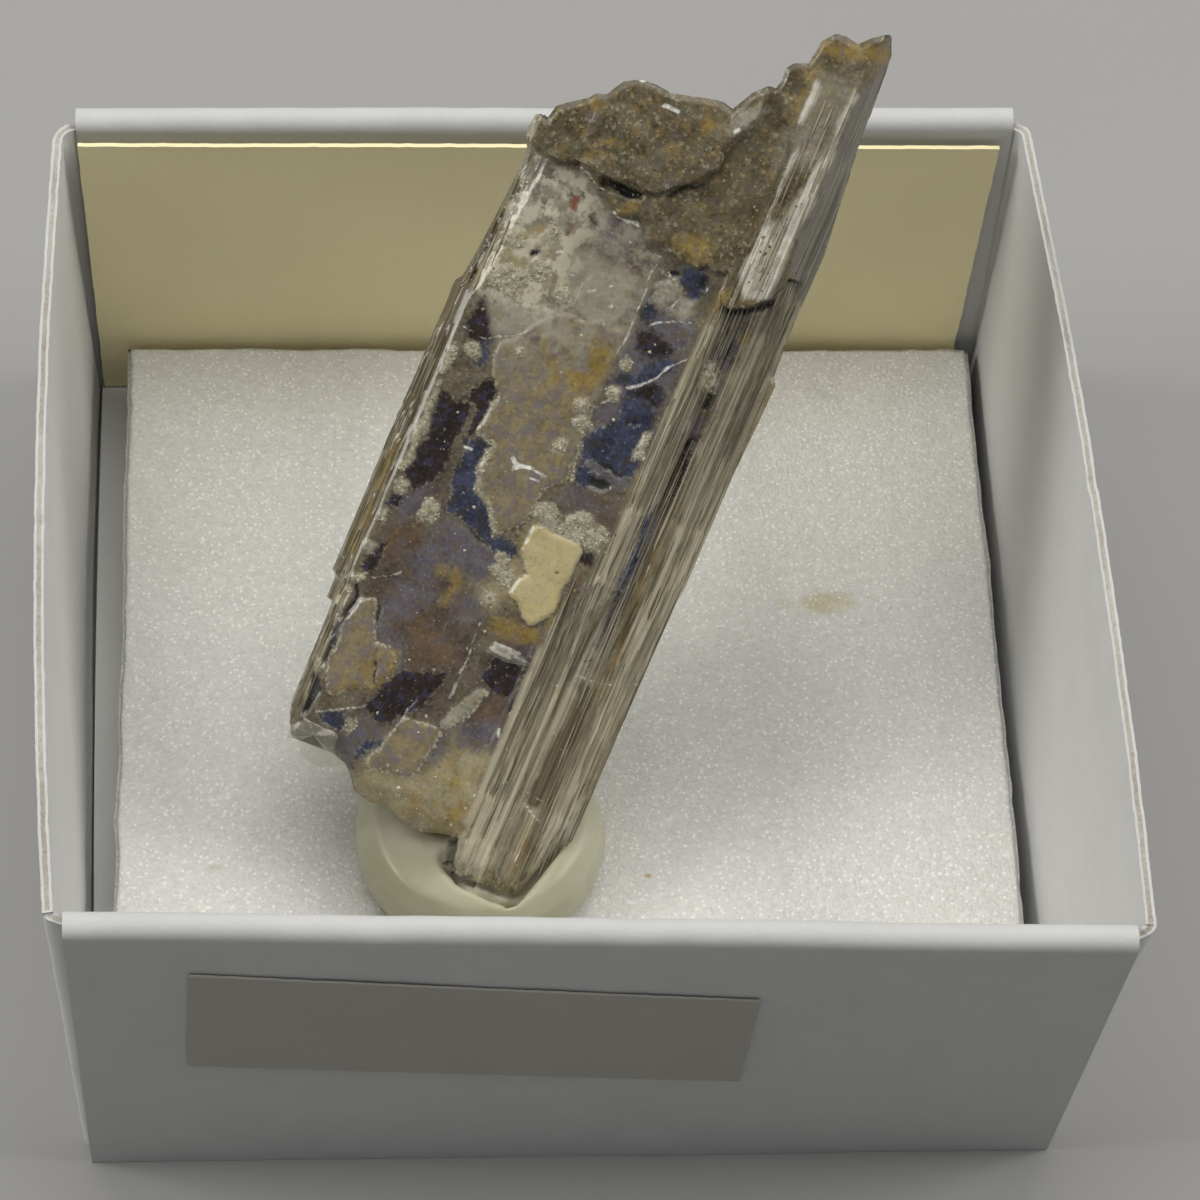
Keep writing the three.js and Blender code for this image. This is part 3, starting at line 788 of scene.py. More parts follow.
NAVY = (
    ((2.55, 13.35), (3.25, 13.3), (3.2, 13.0), (3.15, 12.4), (3.3, 11.9), (3.4, 11.4), (3.9, 11.1),
     (4.2, 10.7), (4.6, 10.45), (5.0, 10.15), (5.5, 10.2), (5.9, 10.0), (5.9, 9.6), (5.6, 9.2),
     (5.2, 9.3), (4.6, 9.7), (4.0, 9.9), (3.3, 10.1), (2.7, 10.15), (2.6, 10.8), (2.35, 11.3),
     (2.4, 12.2)),
    ((6.8, 15.3), (7.0, 15.6), (7.25, 16.0), (7.6, 16.4), (7.4, 16.9), (7.5, 17.3), (8.0, 17.5),
     (8.7, 17.3), (9.0, 16.8), (8.9, 16.3), (8.6, 15.9), (8.7, 15.3), (9.05, 15.0), (9.05, 14.2),
     (8.0, 14.2), (7.4, 14.4), (7.0, 14.2), (6.75, 14.6)),
    ((6.85, 13.3), (6.9, 13.8), (7.2, 14.1), (7.7, 14.0), (7.6, 13.4), (7.3, 13.2)),
    ((7.6, 22.2), (7.65, 22.9), (8.0, 23.1), (8.6, 23.05), (8.8, 22.7), (8.75, 22.2), (8.5, 21.7),
     (8.2, 21.7), (7.9, 22.0)),
    ((6.75, 20.3), (6.8, 21.1), (7.0, 21.45), (7.25, 21.1), (7.4, 20.7), (7.2, 20.3)),
    ((6.95, 17.5), (7.1, 18.0), (7.7, 18.3), (8.0, 19.0), (8.4, 19.3), (8.9, 19.3), (8.8, 18.9),
     (8.3, 18.4), (7.8, 18.0), (7.4, 17.5)),
    ((1.35, 17.1), (1.75, 17.2), (1.8, 16.6), (1.75, 16.05), (1.3, 16.1), (1.5, 16.6)),
    ((3.9, 0.6), (3.3, 0.2), (3.0, -0.5), (3.2, -0.7), (3.6, -0.1), (4.0, 0.4)),
    ((10.25, 13.7), (10.55, 13.8), (10.5, 12.5), (10.45, 10.5), (10.2, 9.4), (10.05, 9.6),
     (10.1, 11.0), (10.2, 12.3)),
    ((10.25, 20.1), (10.2, 21.3), (10.6, 21.6), (10.6, 20.3)),
    ((1.2, 0.3), (1.3, 0.8), (2.0, 1.1), (2.2, 0.7), (2.1, 0.2)),
)
LAVENDER = (
    ((6.75, 13.6), (6.75, 18.8), (7.6, 19.3), (9.0, 19.6), (9.1, 16.0), (9.1, 13.8)),
    ((10.45, 6.6), (10.2, 8.0), (9.9, 10.5), (9.95, 13.5), (10.0, 16.5), (10.1, 18.4), (10.0, 20.0),
     (10.2, 22.2), (10.75, 22.0), (10.85, 18.5), (10.9, 14.0), (10.85, 9.0), (10.8, 7.2)),
    ((2.4, 9.95), (3.9, 9.85), (4.9, 9.4), (5.6, 9.0), (5.5, 8.4), (5.0, 8.0), (4.4, 8.1),
     (3.8, 8.3), (3.4, 7.9), (3.3, 7.3), (2.6, 6.9), (2.1, 8.0), (2.3, 8.9)),
    ((0.4, 10.0), (1.0, 10.3), (1.6, 11.0), (1.85, 10.6), (1.7, 9.8), (1.4, 9.1), (1.0, 9.2),
     (0.6, 9.5)),
    ((6.7, 12.3), (6.8, 13.0), (7.6, 13.1), (8.2, 12.9), (8.9, 13.1), (8.9, 12.5), (8.0, 12.5),
     (7.3, 12.2)),
    ((4.4, 18.0), (4.8, 17.3), (5.3, 17.3), (5.7, 17.6), (5.6, 18.1), (5.0, 18.4)),
    ((1.75, 4.4), (1.8, 5.2), (1.9, 6.7), (2.6, 6.9), (3.6, 6.9), (3.0, 5.4), (3.1, 4.6),
     (3.3, 3.9), (3.5, 3.4), (3.1, 3.3), (2.9, 4.1), (2.3, 4.3)),
    ((4.3, 6.9), (4.6, 7.5), (5.5, 7.4), (5.7, 6.6), (5.0, 6.3)),
    ((4.0, 22.6), (4.0, 23.4), (4.8, 23.6), (5.5, 23.4), (5.6, 22.6), (4.8, 22.4)),
    ((6.6, 2.3), (7.2, 2.9), (7.6, 3.2), (8.1, 3.0), (8.15, 2.2), (7.5, 1.8), (6.9, 1.7)),
    ((5.9, 2.35), (6.4, 2.2), (6.15, 1.3), (6.0, 0.4), (5.78, 0.1), (5.72, 1.3), (5.8, 2.0)),
    ((6.7, 18.6), (6.8, 20.2), (7.5, 21.0), (8.9, 21.2), (9.1, 20.0), (8.6, 19.5), (7.6, 19.0)),
    ((2.2, 0.1), (2.3, -0.6), (3.0, -0.9), (3.4, 0.2), (3.9, 0.7), (3.4, 1.1), (2.6, 1.3)),
    ((7.7, 6.2), (8.1, 7.1), (8.2, 4.0), (7.9, 3.6)),
)
RUSSET = (
    ((0.6, 8.0), (0.65, 8.9), (1.3, 8.9), (1.6, 9.4), (2.1, 9.4), (2.2, 8.9), (2.0, 8.2),
     (1.4, 8.0), (1.2, 7.4), (0.8, 7.2)),
    ((8.0, 12.95), (8.2, 13.3), (8.65, 13.2), (8.3, 12.95)),
    ((8.2, 12.4), (8.6, 12.75), (8.75, 12.4), (8.5, 12.2)),
    ((2.55, 4.8), (2.6, 5.5), (2.95, 5.3), (2.85, 4.6)),
    ((3.3, 6.0), (3.9, 6.5), (4.1, 5.9), (5.3, 5.3), (5.4, 4.5), (4.8, 4.1), (4.1, 3.9),
     (3.4, 4.1), (3.2, 4.7), (3.0, 5.3)),
    ((5.9, 22.2), (6.0, 22.8), (6.4, 22.7), (6.4, 22.2)),
    ((2.7, 22.3), (2.9, 22.9), (3.4, 22.9), (3.3, 22.3)),
    ((8.4, 9.0), (8.45, 10.1), (8.9, 10.1), (9.1, 9.4), (8.8, 8.9)),
    ((10.3, 3.2), (10.4, 3.8), (10.75, 3.7), (10.7, 3.1)),
    ((7.1, 3.2), (7.2, 3.9), (7.7, 3.9), (7.7, 3.2)),
)
TAN = (TAN_PLATE, LOWER_TAN, FOOT_PLATE,
       ((6.0, 2.3), (6.2, 3.0), (6.7, 3.9), (7.0, 4.2), (7.05, 3.6), (6.8, 3.0), (6.3, 2.3)))
OCHRE = (
    ((5.6, 18.8), (6.3, 18.8), (6.6, 18.0), (6.4, 17.3), (5.95, 17.0), (5.75, 16.2), (5.95, 15.5),
     (5.6, 15.5), (5.6, 16.6), (5.0, 16.9), (4.4, 16.5), (4.3, 16.2), (4.7, 17.1), (5.5, 17.4),
     (5.7, 17.8)),
    ((6.2, 6.4), (6.1, 6.9), (7.0, 7.1), (8.0, 7.1), (8.1, 6.7), (7.2, 6.3)),
    ((9.25, 21.2), (9.25, 22.6), (9.5, 22.6), (9.6, 21.3)),
    ((10.65, 21.05), (10.75, 21.4), (11.1, 21.35), (11.05, 21.0)),
    ((7.5, -1.5), (7.4, -0.9), (7.7, -0.4), (8.1, -0.6), (8.05, -1.3)),
    ((5.75, -1.2), (5.8, -0.9), (6.1, -1.1), (6.5, -1.6), (6.2, -1.8)),
    ((4.5, 23.9), (4.6, 24.1), (5.0, 24.6), (5.1, 24.3)),
    ((7.0, 23.6), (7.1, 24.1), (8.2, 24.2), (8.5, 23.8), (7.8, 23.4)),
)
RUST_STROKES = (
    ((2.9, 4.0), (3.0, 3.2), (2.75, 2.5), (2.0, 2.15), (1.5, 1.8), 0.11),
    ((3.4, 7.9), (3.9, 8.05), (4.3, 7.7), (4.2, 7.2), (4.0, 6.8), 0.16),
    ((7.3, 0.2), 0.22), ((10.95, -1.0), (10.95, -2.2), 0.08), ((6.2, 10.95), (6.9, 10.95), 0.10),
    ((6.5, 9.0), (6.8, 9.05), 0.08), ((8.25, 8.2), (8.3, 7.6), 0.08), ((11.15, 5.5), (11.15, 14.0), 0.07),
    ((12.3, 0.5), (12.35, 5.0), 0.05), ((12.7, 18.0), (12.7, 19.8), 0.05), ((4.4, 17.5), 0.28),
    ((-0.35, 7.0), (-0.35, 12.0), 0.10), ((2.2, 3.2), (2.3, 2.6), 0.16), ((8.3, 25.0), 0.2),
    ((2.8, 26.2), (3.5, 26.4), 0.15), ((2.5, 25.3), 0.2), ((1.9, 27.4), 0.25), ((5.5, 27.1), 0.2),
    ((6.4, 28.4), 0.2), ((9.4, 31.0), (9.4, 33.0), 0.09), ((11.6, 33.6), 0.25),
    ((4.6, 24.0), (4.8, 24.5), 0.12),
    ((9.35, 30.0), (9.35, 32.4), 0.1), ((9.3, 13.4), (9.35, 14.5), 0.12), ((9.6, 33.0), (11.7, 33.6), 0.3),
)
CREAM = (
    ((0.7, 19.2), (0.75, 19.9), (1.2, 20.3), (2.0, 20.2), (2.1, 19.8), (1.5, 19.5), (2.0, 19.2),
     (1.3, 19.15)),
    ((1.8, 20.2), (2.0, 20.9), (2.6, 20.9), (2.9, 20.5), (2.4, 20.1)),
    ((0.5, 21.0), (0.6, 21.6), (1.2, 21.7), (1.6, 21.3), (1.1, 20.9)),
    ((1.9, 21.8), (2.1, 22.4), (2.7, 22.4), (2.7, 22.0), (2.3, 21.6)),
    ((7.1, 11.2), (7.2, 11.8), (7.6, 12.3), (8.2, 12.3), (8.4, 11.9), (8.9, 12.1), (9.05, 11.7),
     (8.9, 11.0), (8.4, 11.05), (7.8, 11.2)),
    ((6.0, 11.4), (6.0, 11.9), (6.6, 12.1), (7.0, 11.8), (6.6, 11.4)),
    ((5.15, 9.2), (5.2, 9.6), (5.6, 9.6), (5.75, 9.2), (5.5, 9.0)),
    ((5.1, 8.7), (5.4, 9.0), (6.0, 9.0), (6.3, 8.6), (5.9, 8.2), (5.4, 8.5)),
    ((1.7, 9.6), (1.8, 10.3), (2.1, 10.5), (2.5, 10.1), (2.4, 9.6), (2.0, 9.4)),
    ((8.65, 15.0), (8.7, 16.1), (9.0, 16.2), (9.05, 15.1)),
    ((9.95, 18.7), (9.95, 19.7), (10.3, 20.0), (10.6, 19.6), (10.6, 18.7)),
    ((6.9, 18.4), (7.0, 18.8), (7.3, 18.6), (7.2, 18.1)),
    ((5.4, 7.4), (5.5, 7.9), (5.9, 7.9), (5.95, 7.4)),
    ((2.25, 0.35), (2.2, 0.75), (2.45, 0.85), (2.6, 0.5), (2.45, 0.25)),
    ((0.15, 15.2), (0.15, 16.3), (0.45, 16.6), (0.6, 16.0), (0.55, 15.3)),
)
CREAM_STROKES = (
    ((0.35, 11.1), (0.5, 11.7), (0.35, 12.3), (0.5, 12.9), (0.5, 13.4), (0.4, 14.0), (0.4, 14.7), 0.13),
    ((0.5, 10.35), 0.27), ((0.3, 8.8), (0.4, 9.1), 0.14), ((0.25, 2.4), 0.2), ((0.2, 5.6), 0.12),
    ((0.5, 6.4), (0.3, 6.2), 0.16), ((1.15, 16.6), 0.3), ((6.05, 16.3), 0.3), ((6.4, 15.6), 0.36),
    ((5.95, 14.4), 0.27), ((7.0, 17.1), 0.3), ((2.95, 17.15), 0.26), ((3.65, 20.1), 0.3),
    ((2.7, 14.9), (2.65, 13.6), 0.07), ((2.7, 13.5), (3.5, 13.3), 0.05),
    ((3.25, 12.9), (3.3, 12.0), (3.55, 11.4), (4.0, 11.1), (4.35, 10.65), (4.8, 10.2), 0.10),
    ((6.75, 13.3), (6.75, 14.6), 0.05), ((7.1, 22.4), (7.6, 22.1), 0.05),
)
PALE = (
    ((0.9, 18.9), (1.3, 19.15), (2.0, 18.9), (3.0, 19.2), (3.9, 19.2), (3.2, 18.3), (2.6, 17.8),
     (1.9, 17.6), (1.4, 18.0), (1.0, 18.5)),
    ((1.15, 23.2), (1.2, 23.9), (2.3, 24.0), (2.5, 23.3), (2.0, 23.1)),
    ((1.7, 22.6), (1.75, 23.0), (2.6, 23.0), (2.7, 22.6), (2.3, 22.5)),
    ((0.3, 21.8), (0.3, 23.0), (1.2, 23.1), (1.7, 22.4), (1.0, 21.9)),
    ((4.2, 20.2), (4.4, 21.1), (5.2, 21.4), (6.0, 21.2), (6.3, 20.4), (6.0, 19.7), (5.2, 19.4),
     (4.5, 19.6)),
    ((7.0, 21.0), (6.95, 21.8), (7.3, 22.1), (7.8, 22.0), (7.9, 21.4), (7.5, 21.0)),
    ((7.9, 20.9), (8.0, 21.6), (8.6, 21.8), (8.9, 21.3), (8.6, 20.8)),
    ((5.9, 1.9), (5.95, 3.0), (6.6, 4.0), (6.9, 4.2), (7.0, 3.9), (6.6, 2.9), (6.1, 2.0)),
    ((7.2, 28.4), (7.3, 29.3), (7.9, 29.9), (8.3, 30.0), (8.0, 29.0), (7.7, 28.5)),
    ((6.3, 10.9), (6.4, 11.5), (7.0, 11.6), (7.0, 11.1)),
    ((0.2, 7.5), (0.25, 7.9), (0.55, 7.9), (0.55, 7.5)),
)
# Painted shade: near-black marks in pits and cracks, and along the creases under the edges of the torn
# packet and the raised plate. The relief also sinks them a little; their dark colour is painted shade.
SHADED_PITS = (
    ((0.45, 0.2), (0.35, 0.9), (0.25, 1.9), (0.5, 1.9), (0.85, 1.5), (0.7, 0.9), (0.6, 0.3)),
    ((7.45, 13.45), (7.5, 13.8), (8.0, 13.95), (8.35, 13.7), (8.1, 13.45)),
    ((3.4, 24.6), (3.5, 24.95), (4.9, 25.0), (5.0, 24.8), (4.4, 24.55)),
    ((8.45, 22.3), (8.5, 22.8), (8.75, 22.8), (8.75, 22.3)),
)
SHADED_CRACKS = (
    ((3.9, 9.85), (4.3, 9.7), (4.8, 9.55), 0.055),
    ((9.7, 22.0), (10.4, 22.15), (10.9, 22.45), (11.3, 23.0), 0.13),
    ((0.4, 2.6), (0.35, 3.1), (0.45, 3.6), (0.35, 3.9), (0.5, 4.3), (0.5, 4.9), (0.6, 5.4),
     (0.5, 5.9), 0.11),
    ((2.35, 3.5), (2.8, 2.7), 0.05), ((7.95, 16.3), (8.3, 16.45), 0.08), ((7.9, 14.4), (8.6, 14.15), 0.06),
    ((1.9, 21.0), (2.1, 21.25), 0.09), ((6.25, 18.3), 0.06), ((7.68, 9.65), 0.05),
    ((7.2, 22.4), (7.5, 22.5), 0.12),
    ((6.0, 25.25), (6.5, 25.8), (7.0, 26.2), 0.07), ((4.2, 1.7), (4.5, 2.8), 0.05),
    ((1.7, 5.5), (1.85, 4.8), 0.06),
    ((10.5, 18.4), (10.5, 18.1), 0.2), ((0.1, 21.9), (0.0, 19.0), 0.05), ((8.1, 3.6), (8.1, 4.1), 0.04),
)
# Mostly painted highlights: short pale strokes stand in for glints off sheet edges, tilted facets and
# cleavage steps. The long thin diagonal strokes are pale scratches and hairs on the face.
GLINT_AND_SCRATCH_STROKES = (
    ((6.5, 6.02), (7.3, 5.95), (7.6, 6.0), 0.05), ((6.45, 5.85), (7.3, 5.78), 0.07),
    ((7.4, 5.9), (8.1, 5.8), 0.025),
    ((4.4, 13.2), (4.7, 13.05), (5.05, 13.15), 0.08), ((5.2, 13.2), (5.7, 13.1), 0.05),
    ((5.2, 12.8), (5.6, 12.85), 0.05),
    ((4.55, 12.85), (4.75, 12.95), 0.04),
    ((2.35, 12.75), (2.65, 12.75), 0.05), ((5.6, 20.25), 0.09), ((4.5, 20.6), (4.8, 20.75), 0.035),
    ((3.6, 20.75), (3.8, 20.85), 0.03), ((5.3, 21.0), (5.6, 21.1), 0.04),
    ((4.2, 23.8), (4.6, 23.7), (5.4, 23.75), 0.06),
    ((2.8, 21.5), (3.0, 21.7), 0.04), ((6.4, 23.0), (6.6, 22.95), 0.03), ((2.9, 17.2), 0.06),
    ((6.75, 16.7), (7.0, 16.85), 0.04), ((2.2, 25.0), (2.7, 24.8), (3.0, 24.5), (3.5, 24.4), 0.035),
    ((7.5, 28.6), (7.7, 28.8), 0.07), ((4.5, 28.35), (5.1, 28.4), 0.09), ((3.2, 29.0), (3.9, 29.05), 0.05),
    ((10.15, 0.8), (11.0, 0.8), 0.025), ((10.2, 0.3), (10.9, -0.15), 0.022), ((9.1, 5.3), (9.9, 5.4), 0.035),
    ((7.2, 20.3), (8.0, 20.6), (8.9, 21.0), 0.025),
    ((7.4, 17.5), (8.3, 18.4), (8.6, 19.0), (9.2, 19.6), 0.028),
    ((0.5, 17.25), (1.5, 17.2), (2.0, 17.5), (3.0, 18.2), 0.022), ((1.0, 0.6), (2.0, 1.2), (2.8, 1.7), 0.02),
    ((0.9, 6.5), (1.5, 6.8), (2.0, 7.1), 0.02), ((9.9, 5.9), (11.2, 6.2), (12.6, 6.55), 0.018),
    ((5.7, 3.3), (5.7, 6.5), 0.025), ((6.62, 18.6), (6.62, 22.6), 0.02), ((8.0, 2.9), (8.15, 2.6), 0.03),
    ((8.55, -3.2), (8.85, -3.3), 0.08), ((7.9, -2.9), 0.05), ((9.9, -0.5), 0.06),
    ((0.5, -0.2), (0.4, -0.7), 0.05),
    ((0.6, 0.1), (2.1, 0.05), 0.03), ((4.6, -1.6), 0.06), ((5.3, -1.0), 0.07), ((10.5, 19.0), 0.1),
)
RED_STROKES = (((2.7, 23.65), (2.72, 23.35), 0.13), ((2.9, 22.7), 0.05), ((6.1, 22.1), 0.05))


PALE_BANDS = (
    ((9.35, -3.0), (9.35, 3.0), 0.5), ((9.55, 3.0), (9.65, 10.0), 0.42), ((9.65, 10.0), (9.65, 18.0), 0.3),
    ((9.6, 18.0), (9.55, 21.5), 0.12), ((8.35, -1.0), (8.35, 6.5), 0.1), ((8.9, 0.0), (8.95, 5.0), 0.14),
    ((11.75, -2.0), (11.8, 16.0), 0.42), ((11.45, 16.0), (11.45, 21.5), 0.12),
    ((12.5, 7.0), (12.5, 15.0), 0.1),
    ((-0.1, 2.5), (-0.12, 6.0), 0.04), ((0.2, 1.0), (0.2, 5.0), 0.03),
)
DARK_BANDS = (
    ((8.62, 2.6), (8.66, 9.4), 0.11), ((10.5, 0.6), (10.6, 5.6), 0.32), ((10.3, 14.6), (10.35, 16.8), 0.16),
    ((11.15, -2.5), (11.2, 5.0), (11.12, 16.0), 0.11), ((10.85, 9.0), (10.85, 14.0), 0.1),
    ((12.0, 16.0), (11.95, 22.0), 0.12), ((12.2, 15.0), (12.2, 23.0), 0.07),
    ((9.8, 14.0), (9.85, 22.0), 0.08),
    ((9.9, 8.0), (9.85, 13.0), 0.08), ((12.05, 0.6), (12.05, 2.4), 0.05), ((11.6, 6.0), (11.65, 13.0), 0.06),
    ((12.32, 2.0), (12.34, 9.0), 0.035), ((-0.45, 5.8), (-0.45, 14.0), 0.09),
    ((-0.7, 14.0), (-0.66, 18.6), 0.06),
    ((0.02, 8.0), (0.02, 22.0), 0.05), ((-0.28, 13.0), (-0.2, 22.0), 0.07),
    ((9.7, 25.0), (9.75, 29.0), 0.06),
    ((10.5, 17.9), (10.55, 18.5), 0.25), ((9.6, 0.4), (9.75, 2.0), 0.04),
)
LEFT_BUNDLE = (((-1.2, -1.2), (-1.2, 24.3), (0.16, 24.3), (0.2, 12.0), (0.22, -1.2)),)
MAUVE = (
    ((0.6, 6.3), (0.6, 8.2), (2.2, 9.0), (3.4, 8.0), (5.6, 7.6), (5.75, 4.0), (5.7, 2.2), (4.3, 2.0),
     (3.6, 0.9),
     (2.4, 1.4), (3.1, 2.6), (3.1, 4.0), (2.0, 4.4), (1.8, 5.7), (0.8, 5.7)),
    ((6.0, 2.2), (6.4, 5.9), (6.4, 7.2), (8.2, 7.0), (8.2, 2.2)),
    ((0.5, 9.2), (0.5, 11.0), (2.2, 13.0), (2.4, 10.8), (2.2, 9.5)),
    ((6.9, 12.0), (6.9, 16.0), (7.2, 20.5), (8.9, 20.5), (9.0, 12.2)),
    ((3.0, 22.0), (3.4, 23.6), (6.6, 23.2), (6.6, 22.0)),
    ((10.1, 9.2), (10.1, 17.8), (10.8, 17.8), (10.8, 9.2)),
    ((10.0, 20.0), (10.0, 22.0), (10.9, 22.2), (10.9, 20.0)),
)
SILVER = (
    ((9.9, 23.3), (10.3, 22.7), (11.0, 22.9), (11.3, 23.3), (11.35, 25.0), (11.42, 27.0), (11.38, 29.0),
     (11.4, 31.8), (11.15, 32.0), (11.1, 30.0), (10.95, 28.6), (10.7, 27.3), (10.4, 26.0), (9.95, 25.2)),
    ((9.55, 30.0), (9.6, 31.6), (9.78, 31.5), (9.75, 30.0)),
)
SLATE = (
    ((11.6, 32.4), (11.42, 31.6), (11.5, 30.0), (11.45, 28.0), (11.45, 25.5), (11.6, 24.6), (11.75, 24.0),
     (12.6, 23.0), (12.6, 26.5), (12.2, 29.5), (12.1, 31.5), (12.0, 32.6), (11.9, 33.2)),
)
GREY = (
    ((9.4, 28.0), (9.5, 31.9), (11.3, 32.3), (11.2, 29.5), (10.9, 28.4)),
    ((1.0, 17.6), (1.0, 19.1), (3.0, 19.6), (4.2, 20.0), (6.4, 19.4), (6.3, 18.9), (5.0, 18.6), (4.0, 18.2),
     (3.1, 17.8), (2.0, 17.2)),
    ((3.0, 20.1), (2.8, 21.8), (4.0, 22.2), (6.3, 22.0), (6.5, 19.8), (4.4, 20.0)),
    ((8.0, 19.9), (8.0, 20.9), (9.1, 21.0), (9.1, 20.0)),
    ((0.3, 23.0), (0.2, 24.9), (1.2, 25.0), (1.2, 23.2)),
)
BEIGE = (
    ((3.6, -2.2), (3.4, -0.6), (4.1, 1.0), (5.6, 1.7), (6.0, 0.2), (6.6, 1.7), (8.2, 1.9), (8.6, -3.2),
     (6.6, -2.4)),
    ((0.2, 19.2), (0.2, 22.5), (2.6, 22.6), (2.9, 20.0), (2.0, 19.3)),
    ((6.6, 8.0), (5.0, 6.6), (5.0, 8.2), (5.6, 9.6), (6.2, 11.0), (6.6, 11.4), (8.9, 11.9), (8.8, 10.9),
     (8.3, 8.2)),
)
# Name, outlines, strokes, how ragged the edge is and how soft, in millimetres, dark and light colour as
# they look under the lamps, roughness, how pale the rim is, and a second hue.
COLOURS = (
    ("left_bundle", LEFT_BUNDLE, (), 0.1, 0.05, (58, 51, 36), (108, 101, 79), 0.36, 0.0, None),
    ("mauve", MAUVE, (), 0.5, 0.35, (56, 49, 45), (88, 81, 74), 0.28, 0.0, (86, 74, 62)),
    ("grey", GREY, (), 0.5, 0.35, (88, 84, 74), (124, 119, 105), 0.36, 0.0, (112, 104, 82)),
    ("beige", BEIGE, (), 0.6, 0.4, (98, 91, 70), (142, 134, 108), 0.5, 0.0, (126, 112, 74)),
    ("lavender", LAVENDER, (), 0.5, 0.3, (66, 62, 65), (98, 94, 98), 0.30, 0.0, (88, 78, 68)),
    ("russet", RUSSET, (), 0.5, 0.3, (66, 54, 44), (100, 85, 68), 0.34, 0.0, (82, 76, 78)),
    ("purple", PURPLE, (), 0.3, 0.12, (28, 24, 23), (60, 52, 48), 0.22, 0.25, (56, 55, 68)),
    ("navy", NAVY, (), 0.3, 0.12, (36, 36, 41), (72, 76, 94), 0.20, 0.3, (58, 54, 52)),
    ("tan", TAN, (), 0.16, 0.06, (86, 78, 62), (124, 114, 94), 0.38, 0.9, (98, 92, 92)),
    ("dark_band", (), DARK_BANDS, 0.25, 0.08, (58, 51, 39), (98, 90, 73), 0.34, 0.0, None),
    ("pale_band", (), PALE_BANDS, 0.5, 0.25, (122, 115, 94), (172, 165, 145), 0.30, 0.0, None),
    ("silver", SILVER, (), 0.25, 0.12, (102, 97, 84), (188, 185, 172), 0.32, 0.0, None),
    ("slate", SLATE, (), 0.2, 0.08, (54, 51, 47), (116, 112, 103), 0.35, 0.0, None),
    ("pale", PALE, (), 0.3, 0.14, (98, 96, 85), (142, 139, 126), 0.34, 0.5, (116, 108, 84)),
    ("ochre", OCHRE, RUST_STROKES, 0.34, 0.2, (92, 77, 44), (132, 113, 68), 0.45, 0.0, (100, 92, 78)),
    ("yellow", (YELLOW_PLATE,), (), 0.12, 0.04, (136, 126, 92), (166, 155, 120), 0.42, 0.7, (158, 146, 104)),
    ("cream", CREAM, CREAM_STROKES, 0.3, 0.1, (108, 103, 84), (154, 149, 130), 0.5, 0.0, None),
    # Painted shade in the pits, cracks and creases.
    ("black", SHADED_PITS, SHADED_CRACKS, 0.12, 0.06, (20, 17, 14), (36, 31, 26), 0.5, 0.0, None),
    ("red", (), RED_STROKES, 0.10, 0.08, (92, 56, 42), (120, 74, 56), 0.5, 0.0, None),
    # Painted highlights, together with pale scratches and hairs.
    ("glint", (), GLINT_AND_SCRATCH_STROKES, 0.05, 0.03, (126, 124, 114), (220, 219, 212), 0.25, 0.0, None),
)


def deepest(outlines, strokes, across, along):
    """Depth inside the nearest of a colour's outlines and strokes, whose edges wander a little."""
    place = np.stack([across, along], 1)
    across = across + 0.11 * drift(place, 0.85, 61) + 0.05 * drift(place, 0.3, 62)
    along = along + 0.11 * drift(place, 0.85, 63) + 0.05 * drift(place, 0.3, 64)
    depth = np.full(across.shape, -9.0)
    for outline in outlines:
        depth = np.maximum(depth, depth_inside(outline, across, along))
    for path in strokes:
        depth = np.maximum(depth, depth_in_stroke(path, across, along))
    return depth


# ---------------------------------------------------------------- mica crystal: relief of the upper side
# The broad face is nearly flat. On the right the sheets end one behind the other, like stairs, on the
# left they are a frayed bundle, and at the top a torn packet of sheets still lies on the face.
FLANK_START = ((-4, 8.3), (3, 8.2), (6, 8.2), (7.5, 8.1), (9, 8.5), (10, 9.0), (14, 9.1), (22, 9.3),
               (40, 9.6))
LEFT_LINE = ((0.4, -0.35), (4.6, -0.35), (4.9, -0.65), (5.75, -0.65), (6.0, -0.86), (12.0, -0.85),
             (18.7, -0.78), (19.0, -0.58), (21.0, -0.35), (24.4, -0.08), (25.1, -0.1))
stairs = np.random.default_rng(41)
STAIR_SHARE = np.sort(stairs.uniform(0.0, 1.0, 34))
STAIR_DROP = stairs.uniform(0.2, 1.0, 34) ** 2
STAIR_DROP *= FLANK_DEPTH / STAIR_DROP.sum()


def interpolate(along, table):
    """Value at a place along the book, from a list of (place, value)."""
    return np.interp(along, [row[0] for row in table], [row[1] for row in table])


